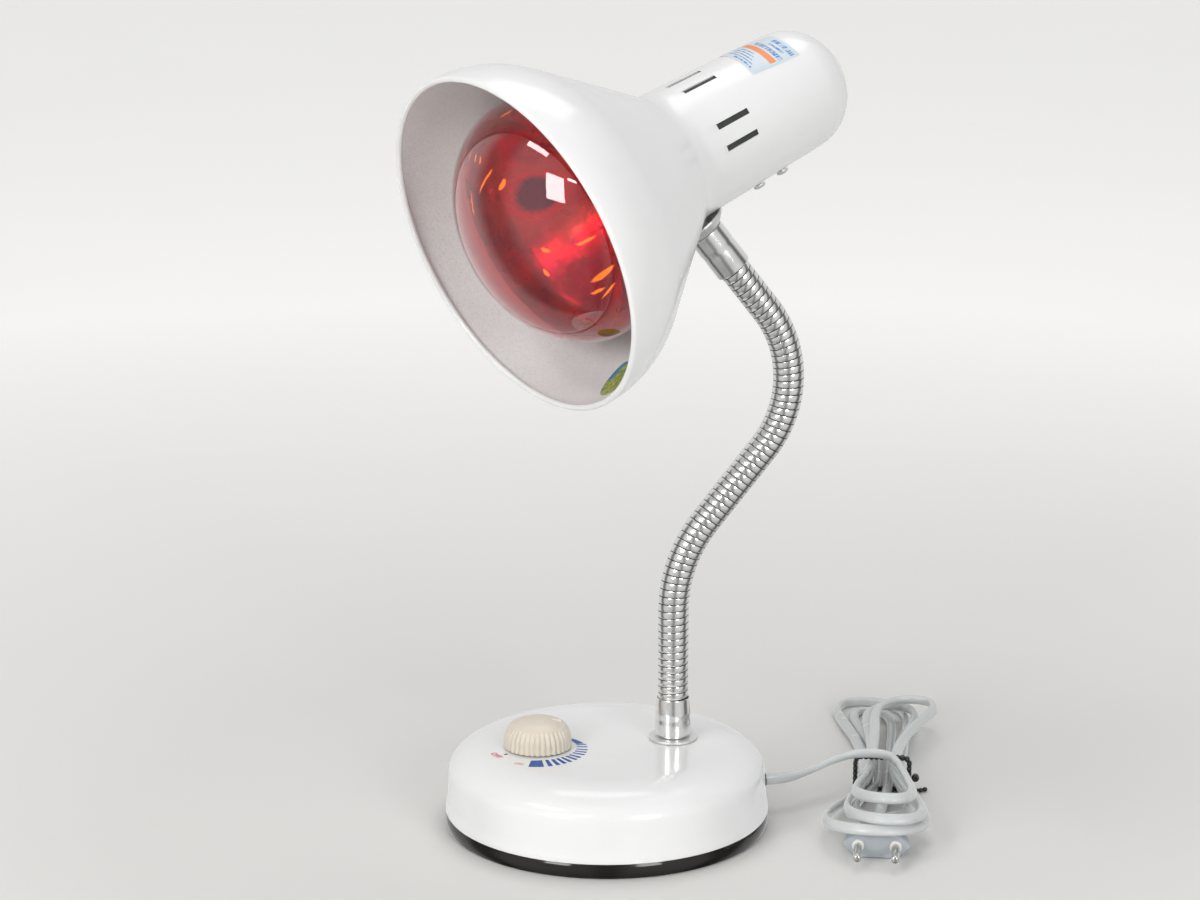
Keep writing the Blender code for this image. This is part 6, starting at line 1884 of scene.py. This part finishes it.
def wrap(obj):
    """Lays a map round the shade's axis on a piece, in decimetres across and along."""
    layer = obj.data.uv_layers.new(name="wrap")
    inverse = HEAD.inverted()
    for face in obj.data.polygons:
        middle = inverse @ face.center
        home = math.atan2(middle.y, middle.x)
        for loop in face.loop_indices:
            spot = inverse @ obj.data.vertices[obj.data.loops[loop].vertex_index].co
            turn = math.remainder(math.atan2(spot.y, spot.x) - home, WHOLE) + home
            layer.data[loop].uv = (turn * WRAP_RADIUS, spot.z * 10.0)


class LAMP_OT_bulb(bpy.types.Operator):
    """Blow the bulb's red glass and set the crinkled reflector inside it."""

    bl_idname = "lamp.bulb"
    bl_label = "Bulb"

    def execute(self, context):
        outer, inner = bulb_wall(0.0), bulb_wall(BULB_GLASS)
        outline = outer + inner[::-1]
        window = BULB_FRONT + BULB_FRONT_DEPTH + BULB_WINDOW_BACK
        rows = outline + [outline[0]]
        marks = [int((low[1] + high[1]) / 2.0 > window) for low, high in zip(rows, rows[1:])]
        glass = lathed("bulb_envelope", outline, BULB_SIDES, ["bulb", "bulb_back"], HEAD, marks)
        fit(glass, "head", "bulb_red", "bulb_glass")
        depth = context.scene.lamp_sizes.crinkle_depth
        turns = np.arange(MIRROR_SIDES) * WHOLE / MIRROR_SIDES
        wall = [point for point in bulb_wall(2.0 * BULB_GLASS) if point[1] > MIRROR_START]
        wall = flowing([point for point in wall if point[1] < BULB_NECK_END], MIRROR_SMOOTH_STEPS)
        chance = np.random.default_rng(CRINKLE_SEED)
        waves = chance.uniform(CRINKLE_LEAST, CRINKLE_MOST, (CRINKLE_COUNT, len(CRINKLE_LEAST)))
        rings = []
        for radius, height in wall:
            height_wave = sum(
                np.sin(round(across) * turns + along * height + phase) / (2.0 + across / 5.0)
                for across, along, phase in waves
            )
            radii = radius - depth * np.maximum(0.6 + 0.5 * height_wave, -0.5)
            rings.append(ring(radii, turns, height))
        points = moved(np.array(rings).reshape(-1, 3), HEAD)
        reflector = made("bulb_reflector", points, quads(len(rings), MIRROR_SIDES), ["mirror"])
        wrap(reflector)
        fit(reflector, "head", "bulb_red")
        return {"FINISHED"}


# The finish of each piece whose solid stays
INNER_LOOKS = {
    "iron": ("ballast_weight",),
    "rubber": ("base_pad",),
    "steel": ("pan_screw_1", "pan_screw_2", "pan_screw_3", "dimmer_pot", "dimmer_shaft", "bulb_filament"),
    "zinc": (
        "dimmer_nut",
        "foot_nipple",
        "foot_nut",
        "head_nipple",
        "head_nut",
        "head_dish_washer",
        "socket_bracket",
    ),
    "board": ("dimmer_board",),
    "copper": ("choke",),
    "red": ("film_capacitor",),
    "black": ("triac", "bulb_contact"),
    "aluminium": ("heat_sink",),
    "white": ("terminal_block", "cord_clamp"),
    "ceramic": ("socket_body",),
    "brass": ("socket_screw_shell", "bulb_cap"),
    "clear": ("bulb_stem",),
}


class LAMP_OT_inner(bpy.types.Operator):
    """Give the pieces whose solids stay their finishes."""

    bl_idname = "lamp.inner"
    bl_label = "Inner pieces"

    def execute(self, context):
        for look, names in INNER_LOOKS.items():
            for slot in (slot for name in names for slot in NODES[name].material_slots):
                slot.material = FINISHES[look]
        return {"FINISHED"}


# Stage


def aimed_light(name, spot, target, size, power, colour):
    light = bpy.data.lights.new(name, "AREA")
    light.shape = "RECTANGLE"
    light.size, light.size_y = size
    light.energy = power
    light.color = colour
    obj = bpy.data.objects.new(name, light)
    bpy.context.scene.collection.objects.link(obj)
    obj.location = spot
    obj.rotation_euler = (Vector(target) - Vector(spot)).to_track_quat("-Z", "Y").to_euler()
    obj.visible_camera = False
    return obj


class LAMP_OT_stage(bpy.types.Operator):
    """Set the floor, the soft lights and the camera."""

    bl_idname = "lamp.stage"
    bl_label = "Stage"

    def execute(self, context):
        scene = context.scene
        look = Finish("floor_pale", tuple(scene.lamp_colours.floor), 0.6)
        look.mottled(3.0, 0.02).rippled(40.0, 0.0002, 0.1)
        self.floor_far(look)
        edge = np.linspace(-FLOOR_REACH, FLOOR_REACH, FLOOR_POINTS)
        points = [(x, y, 0.0) for y in edge for x in edge]
        floor = made("stage_floor", points, quads(len(edge), len(edge), closed=False), [], flip=False)
        floor.data.materials.append(look.material)
        self.world(scene)
        for name, spot, target, size, power, colour in LIGHTS:
            aimed_light(name, spot, target, size, power, colour)
        camera = bpy.data.cameras.new("lamp_camera")
        camera.lens = CAMERA_LENS
        camera.sensor_width = CAMERA_SENSOR
        camera.clip_start = CAMERA_NEAR
        camera.clip_end = CAMERA_FAR
        right = Vector((math.cos(CAMERA_TURN), -math.sin(CAMERA_TURN), 0.0))
        level = Vector((math.sin(CAMERA_TURN), math.cos(CAMERA_TURN), 0.0))
        upright = Vector((0.0, 0.0, 1.0))
        forward = math.cos(CAMERA_DOWN) * level - math.sin(CAMERA_DOWN) * upright
        up = math.sin(CAMERA_DOWN) * level + math.cos(CAMERA_DOWN) * upright
        obj = bpy.data.objects.new("lamp_camera", camera)
        scene.collection.objects.link(obj)
        turn = Matrix((right, up, forward * -1.0)).transposed().to_4x4()
        obj.matrix_world = Matrix.Translation(CAMERA_SPOT) @ turn
        scene.camera = obj
        scene.view_settings.view_transform = "Standard"
        return {"FINISHED"}

    def floor_far(self, look):
        """Makes the far floor paler to the camera, and the whole floor clear to shiny surfaces."""
        away = look.node("ShaderNodeVectorMath", operation="LENGTH")
        look.link(look.place, away.inputs[0])
        rays = look.node("ShaderNodeLightPath").outputs
        far = look.spread(away.outputs["Value"], 0.0, FLOOR_GLOW, *FLOOR_GLOW_SPAN)
        _, depth, _ = look.parts(look.place)
        glow = look.math("MULTIPLY", far, look.spread(depth, 0.0, 1.0, *FLOOR_FRONT_SPAN))
        look.shader.inputs["Emission Color"].default_value = (1.0, 1.0, 0.99, 1.0)
        seen = look.math("MULTIPLY", glow, rays["Is Camera Ray"])
        look.link(seen, look.shader.inputs["Emission Strength"])
        clear = look.node("ShaderNodeBsdfTransparent").outputs["BSDF"]
        shown = look.choose(rays["Is Glossy Ray"], look.shader.outputs["BSDF"], clear)
        look.link(shown, look.tree.nodes["Material Output"].inputs["Surface"])

    def world(self, scene):
        """Even light from all round, a room for shiny surfaces and a pale surround for the camera."""
        scene.world = bpy.data.worlds.new("studio")
        scene.world.use_nodes = True
        look = Tree(scene.world.node_tree)
        even = look.tree.nodes["Background"]
        even.inputs["Color"].default_value = (1.0, 1.0, 1.0, 1.0)
        even.inputs["Strength"].default_value = AMBIENT
        pale = look.node("ShaderNodeBackground")
        pale.inputs["Color"].default_value = SURROUND
        room = look.node("ShaderNodeBackground")
        look.link(self.room(look), room.inputs["Strength"])
        rays = look.node("ShaderNodeLightPath").outputs
        seen = look.math("MAXIMUM", rays["Is Camera Ray"], rays["Is Transmission Ray"])
        shown = even.outputs["Background"]
        for share, light in ((rays["Is Glossy Ray"], room), (seen, pale)):
            shown = look.choose(share, shown, light.outputs["Background"])
        look.link(shown, look.tree.nodes["World Output"].inputs["Surface"])

    def room(self, look):
        """A room's windows and darker sides, as a brightness by the direction."""
        across, along, up = look.parts(look.node("ShaderNodeTexCoord").outputs["Generated"])
        home = math.atan2(CAMERA_SPOT[1], CAMERA_SPOT[0])
        turn = look.math("SUBTRACT", look.math("ARCTAN2", along, across), home)
        share = look.math("FRACT", look.math("ADD", look.math("DIVIDE", turn, WHOLE), 1.5), 0.0)
        ramp = look.node("ShaderNodeValToRGB")
        look.link(share, ramp.inputs["Fac"])
        stops = ramp.color_ramp.elements
        for number, (angle, bright) in enumerate(ROOM):
            position = angle / 360.0 + 0.5
            stop = stops[number] if number < 2 else stops.new(position)
            stop.position = position
            stop.color = (bright, bright, bright, 1.0)
        ceiling = look.math("GREATER_THAN", up, CEILING_START)
        below = look.math("MAXIMUM", look.math("SUBTRACT", UNDERSIDE_START, up), 0.0)
        side = look.math("SUBTRACT", look.math("SUBTRACT", 1.0, ceiling), below)
        walls = look.math("MULTIPLY", ramp.outputs["Color"], side)
        return look.math("ADD", walls, look.math("MULTIPLY", ceiling, CEILING_BRIGHTNESS))


class LAMP_PT_panel(bpy.types.Panel):
    """The lamp's pieces and settings in the sidebar."""

    bl_idname = "LAMP_PT_panel"
    bl_label = "Heat therapy lamp"
    bl_space_type = "VIEW_3D"
    bl_region_type = "UI"
    bl_category = "Heat Lamp"

    def draw(self, context):
        for settings in (context.scene.lamp_sizes, context.scene.lamp_colours):
            column = self.layout.column()
            for label in settings.__annotations__:
                column.prop(settings, label)
        for maker in MAKERS:
            self.layout.operator(maker.bl_idname)


MAKERS = (
    LAMP_OT_stage,
    LAMP_OT_plug,
    LAMP_OT_tie,
    LAMP_OT_cord,
    LAMP_OT_grommet,
    LAMP_OT_base,
    LAMP_OT_dial,
    LAMP_OT_knob,
    LAMP_OT_neck_ends,
    LAMP_OT_neck,
    LAMP_OT_shade,
    LAMP_OT_marks,
    LAMP_OT_screws,
    LAMP_OT_bulb,
    LAMP_OT_inner,
)
CLASSES = (LampSizes, LampColours, *MAKERS, LAMP_PT_panel)


def register():
    for part in CLASSES:
        bpy.utils.register_class(part)
    bpy.types.Scene.lamp_sizes = PointerProperty(type=LampSizes)
    bpy.types.Scene.lamp_colours = PointerProperty(type=LampColours)


def unregister():
    del bpy.types.Scene.lamp_colours
    del bpy.types.Scene.lamp_sizes
    for part in reversed(CLASSES):
        bpy.utils.unregister_class(part)


def main():
    register()
    FINISHES.update(make_finishes(bpy.context.scene.lamp_colours))
    for maker in MAKERS:
        group, label = maker.bl_idname.split(".")
        getattr(getattr(bpy.ops, group), label)()


if __name__ == "__main__":
    main()
